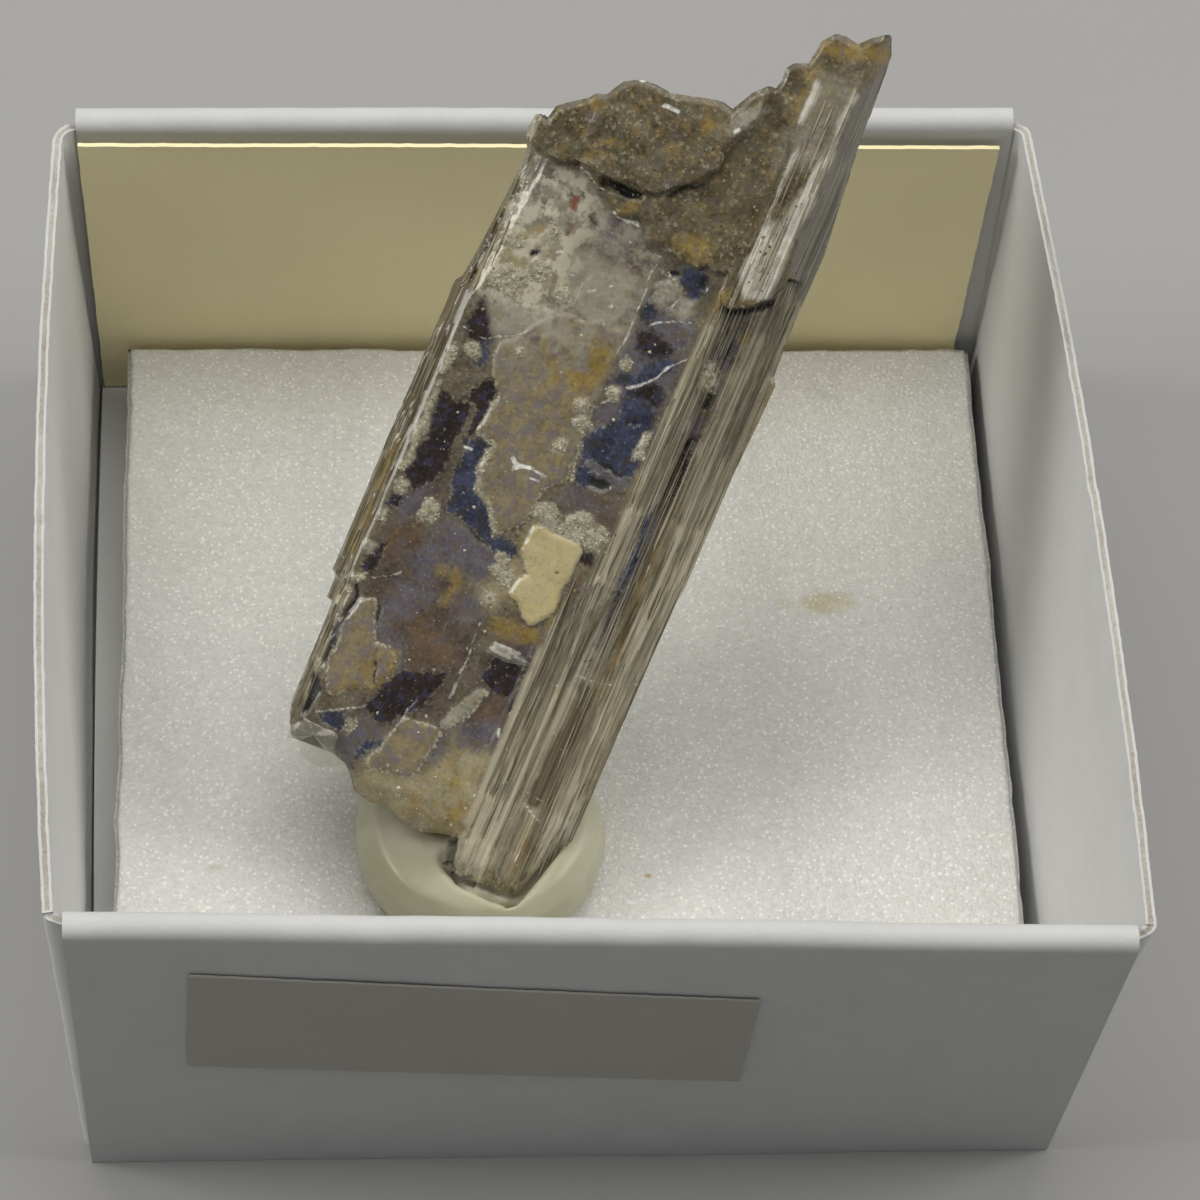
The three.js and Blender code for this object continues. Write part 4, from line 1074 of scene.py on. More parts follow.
def relief(across, along):
    """Height of the upper side over the plane of the broad face."""
    place = np.stack([across, along], 1)
    edge = depth_inside(SILHOUETTE, across, along)
    height = 0.03 * drift(place, 3.5, 31) + 0.012 * drift(place * [1.6, 0.5], 0.8, 32)
    # Plates that lie on the face, thick enough to show their edges, and the granular crusts.
    for outline, lift in ((TAN_PLATE, 0.07), (YELLOW_PLATE, 0.12), (LOWER_TAN, 0.07), (FOOT_PLATE, 0.06)):
        height += lift * ramp(deepest((outline,), (), across, along), -0.04, 0.06)
    crust = ramp(deepest(CREAM, CREAM_STROKES, across, along), -0.05, 0.12)
    height += crust * (0.05 + 0.05 * drift(place, 0.24, 33) + 0.02 * drift(place, 0.12, 34))
    height += 0.045 * ramp(deepest(PALE, (), across, along), -0.03, 0.05)
    height -= 0.08 * ramp(deepest(SHADED_PITS, SHADED_CRACKS, across, along), -0.08, 0.05)
    for centre, radius in (((5.2, 20.4), 1.0), ((7.4, 21.45), 0.55), ((1.1, 15.3), 0.7), ((4.0, 18.0), 0.35),
                           ((4.2, 19.45), 0.25), ((4.95, 5.85), 0.42), ((3.4, 17.75), 0.3)):
        ring = np.hypot(across - centre[0], along - centre[1]) + 0.05 * drift(place, 0.5, 35)
        height += 0.05 * np.exp(-(((ring - radius) / 0.06) ** 2)) + 0.02 * (1 - ramp(ring, 0, radius))
    # Straight cleavage steps on the face.
    for across_at, low, high, step in (
        (5.72, 0.0, 7.0, 0.06), (6.62, 13.0, 23.0, 0.07), (8.25, -2.0, 9.0, 0.05),
    ):
        reach = ramp(along, low, low + 0.5) * (1 - ramp(along, high - 0.5, high))
        height -= step * reach * ramp(across, across_at - 0.03, across_at + 0.03)
    # The stairs of the right flank: the cut edges of many sheets, with glassy ridges between them.
    start = interpolate(along, FLANK_START)
    for share, drop, seed in zip(STAIR_SHARE, STAIR_DROP, range(100, 140)):
        line = start + (FLANK_END - start) * share
        line += 0.12 * drift(along[:, None], 7.0, seed) + 0.03 * drift(along[:, None], 0.7, seed + 40)
        height -= drop * ramp(across, line - 0.035, line + 0.035)
    on_flank = ramp(across, start, start + 0.25)
    ridges = drift(place * [1, 0.03], 0.13, 37)
    height += on_flank * (0.03 * ridges + 0.015 * drift(place * [1, 0.05], 0.07, 36))
    # The frayed bundle on the left.
    left = across - interpolate(along, LEFT_LINE)
    for share, drop, seed in (
        (0.06, 0.42, 131), (0.2, 0.3, 132), (0.38, 0.22, 133), (0.55, 0.2, 134), (0.75, 0.14, 135),
        (0.95, 0.1, 136),
    ):
        line = share + 0.05 * drift(along[:, None], 2.5, seed) + 0.02 * drift(along[:, None], 0.5, seed)
        height -= drop * ramp(-left, -line - 0.03, -line + 0.03) * (1 - ramp(along, 24.0, 25.5))
    # The torn packet at the top, and the raised plate on its left.
    packet = depth_inside(UPPER_PACKET, across, along) + 0.10 * drift(place, 0.4, 38)
    upper = 0.20 + 0.07 * drift(place, 1.3, 39) + 0.03 * drift(place, 0.4, 40)
    upper = upper + 0.012 * drift(place, 0.14, 41)
    strip = ramp(across, 9.5, 9.7) * (1 - ramp(along, 28.5, 29.5))
    upper += strip * (0.03 * drift(place * [1, 0.05], 0.12, 46) + 0.12 * ramp(across, 9.9, 10.1))
    upper -= 2.15 * ramp(across, 11.3 + 0.06 * drift(place, 1.5, 41), 12.55) ** 0.8
    height = height * (1 - ramp(packet, -0.03, 0.05)) + upper * ramp(packet, -0.03, 0.05)
    plate = depth_inside(RAISED_PLATE, across, along) + 0.07 * drift(place, 0.35, 42)
    height += (0.34 + 0.05 * drift(place, 0.7, 43)) * ramp(plate, -0.03, 0.07)
    pit = ramp(depth_in_stroke(((3.5, 24.75), (4.9, 24.85), 0.2), across, along), -0.1, 0.1)
    height -= 0.22 * pit
    # Crumbling towards the foot and the torn ends.
    foot = 1 - ramp(along, -1.6, 0.4)
    crumble = drift(place, 0.45, 44) * 0.6 + drift(place, 0.2, 45) * 0.4
    height += foot * (0.10 * crumble - 0.05) * (1 - 0.7 * on_flank)
    height -= foot * 0.35 * (1 - ramp(edge, 0.0, 0.9)) + 0.16 * (1 - ramp(edge, 0.0, 0.22))
    return height


TABLE_STEP = 0.1
table_across = np.arange(-1.6, 13.6, TABLE_STEP)
table_along = np.arange(-4.2, 35.4, TABLE_STEP)
table_spread = np.meshgrid(table_across, table_along, indexing="ij")
TABLE = relief(table_spread[0].ravel(), table_spread[1].ravel()).reshape(table_spread[0].shape)


def ground(across, along):
    """Height of the upper side, read from a table of it."""
    column = np.clip((across - table_across[0]) / TABLE_STEP, 0, TABLE.shape[0] - 1.001)
    row = np.clip((along - table_along[0]) / TABLE_STEP, 0, TABLE.shape[1] - 1.001)
    i, j = column.astype(int), row.astype(int)
    a, b = column - i, row - j
    return (TABLE[i, j] * (1 - a) * (1 - b) + TABLE[i + 1, j] * a * (1 - b)
            + TABLE[i, j + 1] * (1 - a) * b + TABLE[i + 1, j + 1] * a * b)


# ---------------------------------------------------------------- mica crystal: the upper side
# One skin with the relief of the whole upper side, from the face to the lowest stair of the flank,
# turned in under it all round. Its material lays the drawn colours over plain mica, each with a
# ragged edge.
LIT = 0.62


def as_lit(red, green, blue):
    """The base colour that looks like this, in 0 to 255, on the broad face under the lamps."""
    seen = [(value / 255) ** 2.2 for value in (red, green, blue)]
    return tuple(max(value - 0.010, 0.4 * value) / LIT for value in seen) + (1.0,)


def keep(piece, name, values):
    """Stores one number, or one place, for each point of the mesh, for its material."""
    kind, key = ("FLOAT", "value") if values.ndim == 1 else ("FLOAT_VECTOR", "vector")
    layer = piece.data.attributes.new(name, kind, "POINT")
    layer.data.foreach_set(key, np.ascontiguousarray(values, np.float32).ravel())


def join_up(pieces, name):
    """Makes one piece of several."""
    bpy.ops.object.select_all(action="DESELECT")
    for piece in pieces:
        piece.select_set(True)
    bpy.context.view_layer.objects.active = pieces[0]
    bpy.ops.object.join()
    joined = bpy.context.object
    joined.name = name
    return joined


def points_of(piece):
    """The mesh's points as rows of three numbers."""
    points = np.empty(len(piece.data.vertices) * 3)
    piece.data.vertices.foreach_get("co", points)
    return points.reshape(-1, 3)


def select_points(piece, chosen):
    """Selects the mesh's points by a row of true and false, and opens edit mode."""
    bpy.ops.object.mode_set(mode="EDIT")
    bpy.ops.mesh.select_mode(type="VERT")
    bpy.ops.mesh.select_all(action="DESELECT")
    bpy.ops.object.mode_set(mode="OBJECT")
    piece.data.vertices.foreach_set("select", chosen)
    bpy.ops.object.mode_set(mode="EDIT")


face = unit_grid("mica_face", 176, 338)
bpy.ops.object.mode_set(mode="OBJECT")


def lay_out(points):
    """Stretches the grid over the crystal, closer across the flank than on the face."""
    across = np.interp(points[:, 0], [0, 0.08, 0.56, 1], [-1.0, 0.0, 8.0, 12.85])
    along = -3.55 + points[:, 1] * 38.2
    return np.stack([across, along, np.zeros(len(points))], 1)


reshape(face, lay_out)
laid = points_of(face)
select_points(face, depth_inside(SILHOUETTE, laid[:, 0], laid[:, 1]) < 0.0)
bpy.ops.mesh.delete(type="VERT")
bpy.ops.object.mode_set(mode="OBJECT")


def inward_slope(points):
    """The direction, for each point near the outline, that leads into the crystal."""
    nudge = 0.02
    slope = np.stack([
        depth_inside(SILHOUETTE, points[:, 0] + nudge, points[:, 1])
        - depth_inside(SILHOUETTE, points[:, 0] - nudge, points[:, 1]),
        depth_inside(SILHOUETTE, points[:, 0], points[:, 1] + nudge)
        - depth_inside(SILHOUETTE, points[:, 0], points[:, 1] - nudge)], 1)
    return slope / np.maximum(np.linalg.norm(slope, axis=1), 1e-6)[:, None]


def select_border():
    """In edit mode, selects the open edges of the skin."""
    bpy.ops.mesh.select_mode(type="EDGE")
    bpy.ops.mesh.select_all(action="DESELECT")
    bpy.ops.mesh.select_non_manifold(
        extend=False, use_wire=False, use_boundary=True, use_multi_face=False,
        use_non_contiguous=False, use_verts=False)


def selected_points(piece):
    """A row of true and false: which of the mesh's points are selected."""
    chosen = np.empty(len(piece.data.vertices), bool)
    piece.data.vertices.foreach_get("select", chosen)
    return chosen


# The points at the border are drawn out to the outline itself.
bpy.ops.object.mode_set(mode="EDIT")
select_border()
bpy.ops.object.mode_set(mode="OBJECT")
laid, chosen = points_of(face), selected_points(face)
rim = laid[chosen]
laid[chosen, :2] -= inward_slope(rim) * depth_inside(SILHOUETTE, rim[:, 0], rim[:, 1])[:, None]
laid[:, 2] = relief(laid[:, 0], laid[:, 1])
reshape(face, lambda points: laid)

# The border is turned in under the face, and the underside is closed inside the book.
SKIN_FOOT = -2.3
bpy.ops.object.mode_set(mode="EDIT")
select_border()
for inward, level in ((0.08, None), (0.15, SKIN_FOOT), (0.7, TORN_BELOW)):
    bpy.ops.mesh.extrude_region_move(TRANSFORM_OT_translate={"value": (0, 0, 0)})
    bpy.ops.object.mode_set(mode="OBJECT")
    points, chosen = points_of(face), selected_points(face)
    rim = points[chosen]
    rim[:, :2] += inward_slope(rim) * inward
    if level is None:
        rim[:, 2] -= 0.06
    else:
        rim[:, 2] = level
    if level == SKIN_FOOT:
        rim[:, 1] += (1 - ramp(rim[:, 1], 0.0, 4.0)) * np.interp(rim[:, 0], [7.8, 8.6], [1.15, 0.3])
    points[chosen] = rim
    reshape(face, lambda old: points)
    bpy.ops.object.mode_set(mode="EDIT")
bpy.ops.mesh.remove_doubles(threshold=0.6)
bpy.ops.mesh.edge_face_add()
face_outwards()

laid = points_of(face)
keep(face, "book", laid)
for name, outlines, strokes, *_ in COLOURS:
    keep(face, name, deepest(outlines, strokes, laid[:, 0], laid[:, 1]))
upper_depth = depth_inside(UPPER_PACKET, laid[:, 0], laid[:, 1])
flank_depth = laid[:, 0] - interpolate(laid[:, 1], FLANK_START)
keep(face, "flank", np.maximum(np.minimum(flank_depth, -upper_depth), 0.2 - laid[:, 0]))
keep(face, "upper", upper_depth)
reshape(face, to_world)
bpy.ops.object.shade_smooth_by_angle(angle=math.radians(50))


def fine_grain(tree, scale, stretch=(1, 1, 1), detail=4.0, kind="TexNoise"):
    """Noise on the crystal's own frame, in millimetres, stretched along the book if asked for."""
    frame_of_book = node(tree, "Attribute", attribute_name="book", attribute_type="GEOMETRY")
    moved = node(tree, "Mapping", {"Vector": frame_of_book.outputs["Vector"], "Scale": stretch})
    sockets = {"Vector": moved.outputs[0], "Scale": scale}
    if kind == "TexNoise":
        sockets["Detail"] = detail
        sockets["Roughness"] = 0.62
    return node(tree, kind, sockets)


def stored(tree, name):
    """A number that keep() stored on the mesh."""
    return node(tree, "Attribute", attribute_name=name, attribute_type="GEOMETRY").outputs["Fac"]


def between(tree, value, low, high, to_low=0.0, to_high=1.0):
    """A value spread from one range to another."""
    return node(tree, "MapRange", {0: value, 1: low, 2: high, 3: to_low, 4: to_high}).outputs[0]


def mix_colour(tree, share, first, second):
    return node(tree, "Mix", {0: share, 6: first, 7: second}, data_type="RGBA").outputs[2]


def calculate(tree, way, first, second, third=0.0):
    return node(tree, "Math", {0: first, 1: second, 2: third}, operation=way).outputs[0]


def tinted(tree, colour, *tints):
    """A colour with others laid over it, each (value, bare at, full at, strength there, colour)."""
    for value, bare_at, full_at, strength, tint in tints:
        colour = mix_colour(tree, between(tree, value, bare_at, full_at, 0.0, strength), colour, tint)
    return colour


face_material, tree = new_material("mica_face")
rag = fine_grain(tree, 5.0, detail=3.0).outputs[0]
mottle = fine_grain(tree, 1.1, detail=5.0).outputs[0]
fleck = fine_grain(tree, 6.5, detail=4.0).outputs[0]
streak = fine_grain(tree, 1.0, (6, 0.045, 5), detail=3.0).outputs[0]
band = fine_grain(tree, 1.0, (1.5, 0.05, 0.6), detail=1.0).outputs[0]
thread = fine_grain(tree, 1.0, (17, 0.09, 9), detail=1.0).outputs[0]
speck = fine_grain(tree, 7.0, kind="TexVoronoi")
speck_value = node(tree, "SeparateColor", {0: speck.outputs["Color"]}).outputs[0]

# Plain mica between the films: violet grey to olive brown, greyer and paler where it is thin.
wide = between(tree, mottle, 0.36, 0.64)
tight = between(tree, fleck, 0.30, 0.70)
tone = calculate(tree, "MULTIPLY_ADD", tight, 0.55, calculate(tree, "MULTIPLY", wide, 0.45))
colour = mix_colour(tree, tone, as_lit(60, 54, 45), as_lit(110, 103, 87))
rough = between(tree, mottle, 0.3, 0.7, 0.26, 0.42)
# The torn packet: granular olive brown, with rusty and bluish grey grains.
upper = stored(tree, "upper")
grains = mix_colour(tree, tone, as_lit(56, 50, 37), as_lit(102, 95, 76))
rusty = fine_grain(tree, 2.3, (1, 0.8, 1), detail=4.0).outputs[0]
grains = tinted(
    tree, grains,
    (rusty, 0.54, 0.66, 0.6, as_lit(112, 96, 62)), (rusty, 0.45, 0.36, 0.7, as_lit(84, 80, 74)),
    (fleck, 0.60, 0.68, 0.6, as_lit(122, 84, 44)), (speck_value, 0.90, 0.96, 0.5, as_lit(132, 126, 106)))
colour = mix_colour(tree, between(tree, upper, -0.03, 0.03), colour, grains)
# The cut edges of the sheets on the flank and in the left bundle: fine pale and brown lines.
flank = stored(tree, "flank")
lines = between(tree, streak, 0.34, 0.64)
edge_lines = mix_colour(tree, lines, as_lit(88, 82, 66), as_lit(136, 129, 109))
edge_lines = tinted(
    tree, edge_lines,
    (band, 0.44, 0.36, 0.6, as_lit(86, 81, 80)), (band, 0.56, 0.64, 0.55, as_lit(114, 101, 70)),
    (thread, 0.56, 0.68, 0.6, as_lit(168, 162, 144)), (thread, 0.43, 0.33, 0.5, as_lit(66, 60, 48)),
    (mottle, 0.46, 0.60, 0.55, as_lit(128, 122, 106)))
colour = mix_colour(tree, between(tree, flank, -0.02, 0.06), colour, edge_lines)

patchy = between(tree, fleck, 0.46, 0.56)
# High on the face the films lie under a thin grey veil, with pale crusts on the left of it.
frame_of_book = node(tree, "Attribute", attribute_name="book", attribute_type="GEOMETRY")
frame_of_book = node(tree, "SeparateXYZ", {0: frame_of_book.outputs["Vector"]})
across_book, along_book = frame_of_book.outputs[0], frame_of_book.outputs[1]
bare = between(tree, upper, 0.0, -0.3)
bare = calculate(tree, "MULTIPLY", bare, between(tree, across_book, 6.85, 6.55))
bare = calculate(tree, "MULTIPLY", bare, between(tree, flank, 0.05, -0.1))
veil = fine_grain(tree, 1.7, detail=5.0).outputs[0]
crust = fine_grain(tree, 1.4, (1, 0.9, 1), detail=6.0).outputs[0]
veil = calculate(tree, "MULTIPLY", between(tree, veil, 0.40, 0.58, 0.0, 0.8),
                 between(tree, along_book, 15.8, 18.0))
veil = calculate(tree, "MULTIPLY", veil, between(tree, across_book, 1.4, 2.2))
veil = calculate(tree, "MULTIPLY", veil, bare)
crusted = calculate(tree, "MULTIPLY", between(tree, crust, 0.47, 0.55, 0.0, 0.85),
                    between(tree, across_book, 4.4, 3.0))
crusted = calculate(tree, "MULTIPLY", crusted, between(tree, along_book, 18.3, 19.2))
crusted = calculate(tree, "MULTIPLY", crusted, bare)
for name, outlines, strokes, ragged, soft, dark, light, roughness, rim, hue in COLOURS:
    if name == "ochre":
        colour = mix_colour(tree, veil, colour, as_lit(126, 121, 106))
        colour = mix_colour(tree, crusted, colour, as_lit(160, 155, 136))
    striped = name in ("left_bundle", "pale_band", "dark_band", "silver", "slate")
    depth = stored(tree, name)
    worn = calculate(tree, "MULTIPLY_ADD", streak if striped else rag, 2 * ragged, -ragged)
    worn = calculate(tree, "ADD", depth, worn)
    share = between(tree, worn, -soft, soft)
    if striped:
        fine = between(tree, thread, 0.3, 0.7, 0.0, 0.5)
        inner_tone = calculate(tree, "MULTIPLY_ADD", lines, 0.5, fine)
    elif name == "cream":
        inner_tone = speck_value
    else:
        inner_tone = tone
    inner = mix_colour(tree, inner_tone, as_lit(*dark), as_lit(*light))
    if hue:
        inner = tinted(tree, inner, (rusty, 0.48, 0.40, 0.8, as_lit(*hue)))
    if name == "tan":
        inner = tinted(tree, inner, (rusty, 0.54, 0.62, 0.6, as_lit(124, 112, 78)))
    colour = mix_colour(tree, share, colour, inner)
    rough = node(tree, "Mix", {0: share, 2: rough, 3: roughness}, data_type="FLOAT").outputs[0]
    if rim:
        line = between(tree, calculate(tree, "ABSOLUTE", worn, 0.0), 0.02, 0.075, rim, 0.0)
        line = calculate(tree, "MULTIPLY", line, patchy)
        line = calculate(tree, "MULTIPLY", line, between(tree, along_book, 17.5, 15.5))
        colour = mix_colour(tree, line, colour, as_lit(146, 141, 122))

# Small pale crumbs and dark pinholes are scattered everywhere.
colour = tinted(
    tree, colour,
    (fleck, 0.64, 0.72, 0.7, as_lit(146, 141, 124)), (fleck, 0.36, 0.28, 0.45, as_lit(48, 43, 35)))

relief_height = calculate(tree, "MULTIPLY_ADD", thread, 0.6, fleck)
bump = node(tree, "Bump", {"Height": relief_height, "Strength": 0.4, "Distance": 0.035 * MM})
shader = node(tree, "BsdfPrincipled", {
    "Base Color": colour, "Roughness": rough, "Normal": bump.outputs[0],
})
shader.inputs["IOR"].default_value = MICA_IOR
tree.links.new(between(tree, upper, -0.1, 0.1, 0.45, 0.1), shader.inputs["Coat Weight"])
shader.inputs["Coat Roughness"].default_value = 0.1
finish_with(tree, shader.outputs[0])
face.data.materials.append(face_material)
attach(face, "root")
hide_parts("mica_crystal")


# ---------------------------------------------------------------- mica crystal: the book of sheets
# Under the upper side lie the sheets themselves, stacked with hairline gaps. Each ends a little
# differently, so the sides of the book are finely stepped, and the lowest ones are torn back.
SHEET, PITCH = 0.085, 0.1
book_dice = np.random.default_rng(7)


def around(outline, spacing):
    """Points at even spacing along a closed outline."""
    made = []
    for start, end in zip(outline, outline[1:] + outline[:1]):
        count = max(1, round(math.dist(start, end) / spacing))
        made += [(start[0] + (end[0] - start[0]) * step / count,
                  start[1] + (end[1] - start[1]) * step / count) for step in range(count)]
    return np.array(made)


def sheet_outline(level, number):
    """Outline of the sheet whose upper side is at this level."""
    if level > TORN_BELOW:
        line = around(SILHOUETTE, 0.2)
    else:
        left, right, low, top = (book_dice.uniform(*span) for span in (
            (0.1, 0.4), (12.1, 12.3), (-2.9, -1.9), (28.0, 31.0)))
        line = around(((left - 0.2, low + 4.5), (left - 0.8, 12.0), (left, top - 5), (3.0, top - 2.5),
                       (7.0, top - 1.5), (9.0, top), (11.4, top + 1.0), (11.9, top - 2), (right, 20.0),
                       (right, 3.0), (11.3, low), (8.8, low), (7.8, low + 1.6), (3.0, low + 3.2)), 0.2)
        middle = np.column_stack([np.clip(line[:, 0], 1.5, 10.5), np.clip(line[:, 1], 4.0, 20.0)])
        towards = middle - line
        towards /= np.maximum(np.linalg.norm(towards, axis=1), 0.01)[:, None]
        for step in range(80):
            line += towards * 0.08 * (depth_inside(SILHOUETTE, *line.T) < 0.6)[:, None]
    wander = 0.05 + 0.05 * drift(line, 1.1, 200 + number) + 0.03 * drift(line, 0.35, 300 + number)
    ahead = np.roll(line, -1, 0) - np.roll(line, 1, 0)
    ahead /= np.linalg.norm(ahead, axis=1)[:, None]
    line += np.stack([ahead[:, 1], -ahead[:, 0]], 1) * wander[:, None]
    if level > TORN_BELOW:
        inward = np.stack([ahead[:, 1], -ahead[:, 0]], 1)
        beside = (line[:, 1] > -2.6) & (line[:, 1] < 29.0)
        inward[(line[:, 0] > 11.0) & beside] = (-1, 0)
        inward[(line[:, 0] < 1.0) & (line[:, 1] > 1.0) & (line[:, 1] < 24.0)] = (1, 0)
        corner = (line[:, 0] > 8.4) & (line[:, 1] < 0.0)
        for step in range(70):
            bare = ground(line[:, 0], line[:, 1]) < level + 0.03
            inward[corner] = np.where(line[corner, :1] > 8.4, (-1, 0), (0, 1))
            line[bare] += inward[bare] * 0.07
        # Towards the back the foot is worn away, more so on its left.
        low = 1 - ramp(line[:, 1], 0.0, 4.0)
        line[:, 1] -= level * low * np.interp(line[:, 0], [0, 3, 7.8, 8.6], [0.45, 0.5, 0.45, 0.12])
    return line


book_material, tree = new_material("mica_sheets")
tone = stored(tree, "tone")
cloud = fine_grain(tree, 0.45, detail=5.0).outputs[0]
streaks = fine_grain(tree, 1.0, (2.0, 0.3, 12), detail=4.0).outputs[0]
brown = mix_colour(
    tree, between(tree, streaks, 0.35, 0.65), (0.062, 0.050, 0.028, 1), (0.20, 0.175, 0.125, 1))
brown = tinted(
    tree, brown,
    (tone, 0.6, 1.0, 0.8, (0.36, 0.34, 0.28, 1)), (tone, 0.3, 0.0, 0.7, (0.05, 0.042, 0.028, 1)),
    (cloud, 0.52, 0.68, 0.6, (0.20, 0.19, 0.17, 1)), (cloud, 0.42, 0.30, 0.5, (0.12, 0.075, 0.03, 1)))
glossy = between(tree, cloud, 0.3, 0.7, 0.2, 0.42)
bump = node(tree, "Bump", {"Height": streaks, "Strength": 0.25, "Distance": 0.05 * MM})
shader = node(tree, "BsdfPrincipled", {"Base Color": brown, "Roughness": glossy, "Normal": bump.outputs[0]})
shader.inputs["IOR"].default_value = MICA_IOR
shader.inputs["Coat Weight"].default_value = 0.4
shader.inputs["Coat Roughness"].default_value = 0.1
finish_with(tree, shader.outputs[0])


def inside_line(line, level):
    """The inner edge of a hollow sheet: only the outer part of the sheets inside the book is made."""
    if level < TORN_BELOW:
        middle = np.column_stack([np.full(len(line), 6.0), np.clip(line[:, 1], 4.0, 20.0)])
        return middle + (line - middle) * 0.45
    ahead = np.roll(line, -4, 0) - np.roll(line, 4, 0)
    ahead /= np.linalg.norm(ahead, axis=1)[:, None]
    return line + np.column_stack([ahead[:, 1], -ahead[:, 0]]) * 0.5


sheets = []
for number in range(30):
    level = BOOK_BACK + SHEET + number * PITCH
    if level > -0.2:
        break
    line = sheet_outline(level, number)
    whole = number == 0 or TORN_BELOW < level < TORN_BELOW + PITCH
    bpy.ops.object.select_all(action="DESELECT")
    bpy.ops.mesh.primitive_circle_add(vertices=len(line), radius=1, fill_type="NOTHING")
    sheet = start_piece("mica_sheet")
    bpy.ops.mesh.extrude_region_move(TRANSFORM_OT_translate={"value": (0, 0, 1)})
    bpy.ops.object.mode_set(mode="OBJECT")
    points = points_of(sheet)
    owner = ((points[:, None, :2] - points[None, :len(line), :2]) ** 2).sum(2).argmin(1)
    placed = np.where(points[:, 2:] > 0.5, inside_line(line, level)[owner], line[owner])
    reshape(sheet, lambda old: np.column_stack([placed, np.full(len(placed), level - SHEET)]))
    select_points(sheet, points[:, 2] > 0.5)
    if whole:
        bpy.ops.mesh.remove_doubles(threshold=1.0)
        bpy.ops.mesh.edge_face_add()
    bpy.ops.mesh.select_all(action="SELECT")
    bpy.ops.mesh.extrude_region_move(TRANSFORM_OT_translate={"value": (0, 0, SHEET)})
    face_outwards()
    keep(sheet, "tone", np.full(len(sheet.data.vertices), book_dice.uniform()))
    sheets.append(sheet)
book = join_up(sheets, "mica_book")
keep(book, "book", points_of(book))
reshape(book, to_world)
book.data.materials.append(book_material)
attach(book, "root")
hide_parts("mica_crystal")


# ---------------------------------------------------------------- mica crystal: splinters and crumbs
# Long glassy splinters lie loose along the flank, the left bundle and the silver strip. Tiny crystals
# sit in the crusts. Each kind is one mesh, doubled many times from one small body.
def swarm(name, doublings, divide):
    """Many copies of one small body in one mesh: returns the piece, its points and their owners."""
    bpy.ops.object.select_all(action="DESELECT")
    if divide:
        bpy.ops.mesh.primitive_cube_add(size=2)
    else:
        bpy.ops.mesh.primitive_ico_sphere_add(subdivisions=1, radius=1)
    piece = start_piece(name)
    bpy.ops.object.mode_set(mode="EDIT")
    bpy.ops.mesh.select_all(action="SELECT")
    if divide:
        bpy.ops.mesh.subdivide(number_cuts=1)
    bpy.ops.object.mode_set(mode="OBJECT")
    body = len(piece.data.vertices)
    bpy.ops.object.mode_set(mode="EDIT")
    for _ in range(doublings):
        bpy.ops.mesh.select_all(action="SELECT")
        bpy.ops.mesh.duplicate()
    bpy.ops.object.mode_set(mode="OBJECT")
    points = points_of(piece)
    return piece, points, np.arange(len(points)) // body


splinter_dice = np.random.default_rng(17)
splinters, shape, owner = swarm("mica_splinters", 8, True)
count = owner.max() + 1
pick = splinter_dice.uniform(size=count)
middle_along = splinter_dice.uniform(-2.0, 22.5, count)
share = splinter_dice.uniform(0.02, 1.0, count)
flank_start = interpolate(middle_along, FLANK_START)
middle_across = flank_start + (FLANK_END - flank_start) * share
on_strip = pick > 0.90
middle_along = np.where(on_strip, splinter_dice.uniform(23.6, 31.0, count), middle_along)
middle_across = np.where(on_strip, splinter_dice.uniform(9.9, 11.4, count), middle_across)
on_left = pick < 0.14
middle_along = np.where(on_left, splinter_dice.uniform(1.0, 22.0, count), middle_along)
left_across = interpolate(middle_along, LEFT_LINE) + splinter_dice.uniform(0.1, 0.9, count)
middle_across = np.where(on_left, left_across, middle_across)
half_long = splinter_dice.uniform(0.8, 4.2, count) * np.where(on_strip | on_left, 0.4, 1.0)
half_wide = splinter_dice.uniform(0.012, 0.05, count)
half_thick = splinter_dice.uniform(0.01, 0.02, count)
skew = splinter_dice.normal(0, 0.008, count)
middle_along = np.clip(middle_along, half_long - 2.9, None)
taper = 1 - 0.75 * np.abs(shape[:, 1])
lean = shape[:, 1] * (half_long * skew)[owner]
across = middle_across[owner] + shape[:, 0] * (half_wide[owner] * taper) + lean
along = middle_along[owner] + shape[:, 1] * half_long[owner]
spine_across = middle_across[owner] + lean
height = ground(spine_across, along) + shape[:, 2] * half_thick[owner] + 0.02
laid = np.column_stack([across, along, height])
reshape(splinters, lambda points: laid)
keep(splinters, "book", laid)
keep(splinters, "tone", splinter_dice.uniform(size=count)[owner])
reshape(splinters, to_world)

splinter_material, tree = new_material("mica_splinters")
tone = stored(tree, "tone")
lines = fine_grain(tree, 1.0, (20, 0.6, 6), detail=2.0).outputs[0]
colour = mix_colour(tree, tone, as_lit(86, 79, 62), as_lit(142, 136, 116))
colour = tinted(tree, colour, (lines, 0.5, 0.62, 0.5, as_lit(162, 157, 140)))
shader = node(tree, "BsdfPrincipled", {"Base Color": colour, "Roughness": 0.24})
shader.inputs["IOR"].default_value = MICA_IOR
shader.inputs["Coat Weight"].default_value = 0.3
shader.inputs["Coat Roughness"].default_value = 0.08
finish_with(tree, shader.outputs[0])
splinters.data.materials.append(splinter_material)
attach(splinters, "root")
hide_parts("mica_crystal")

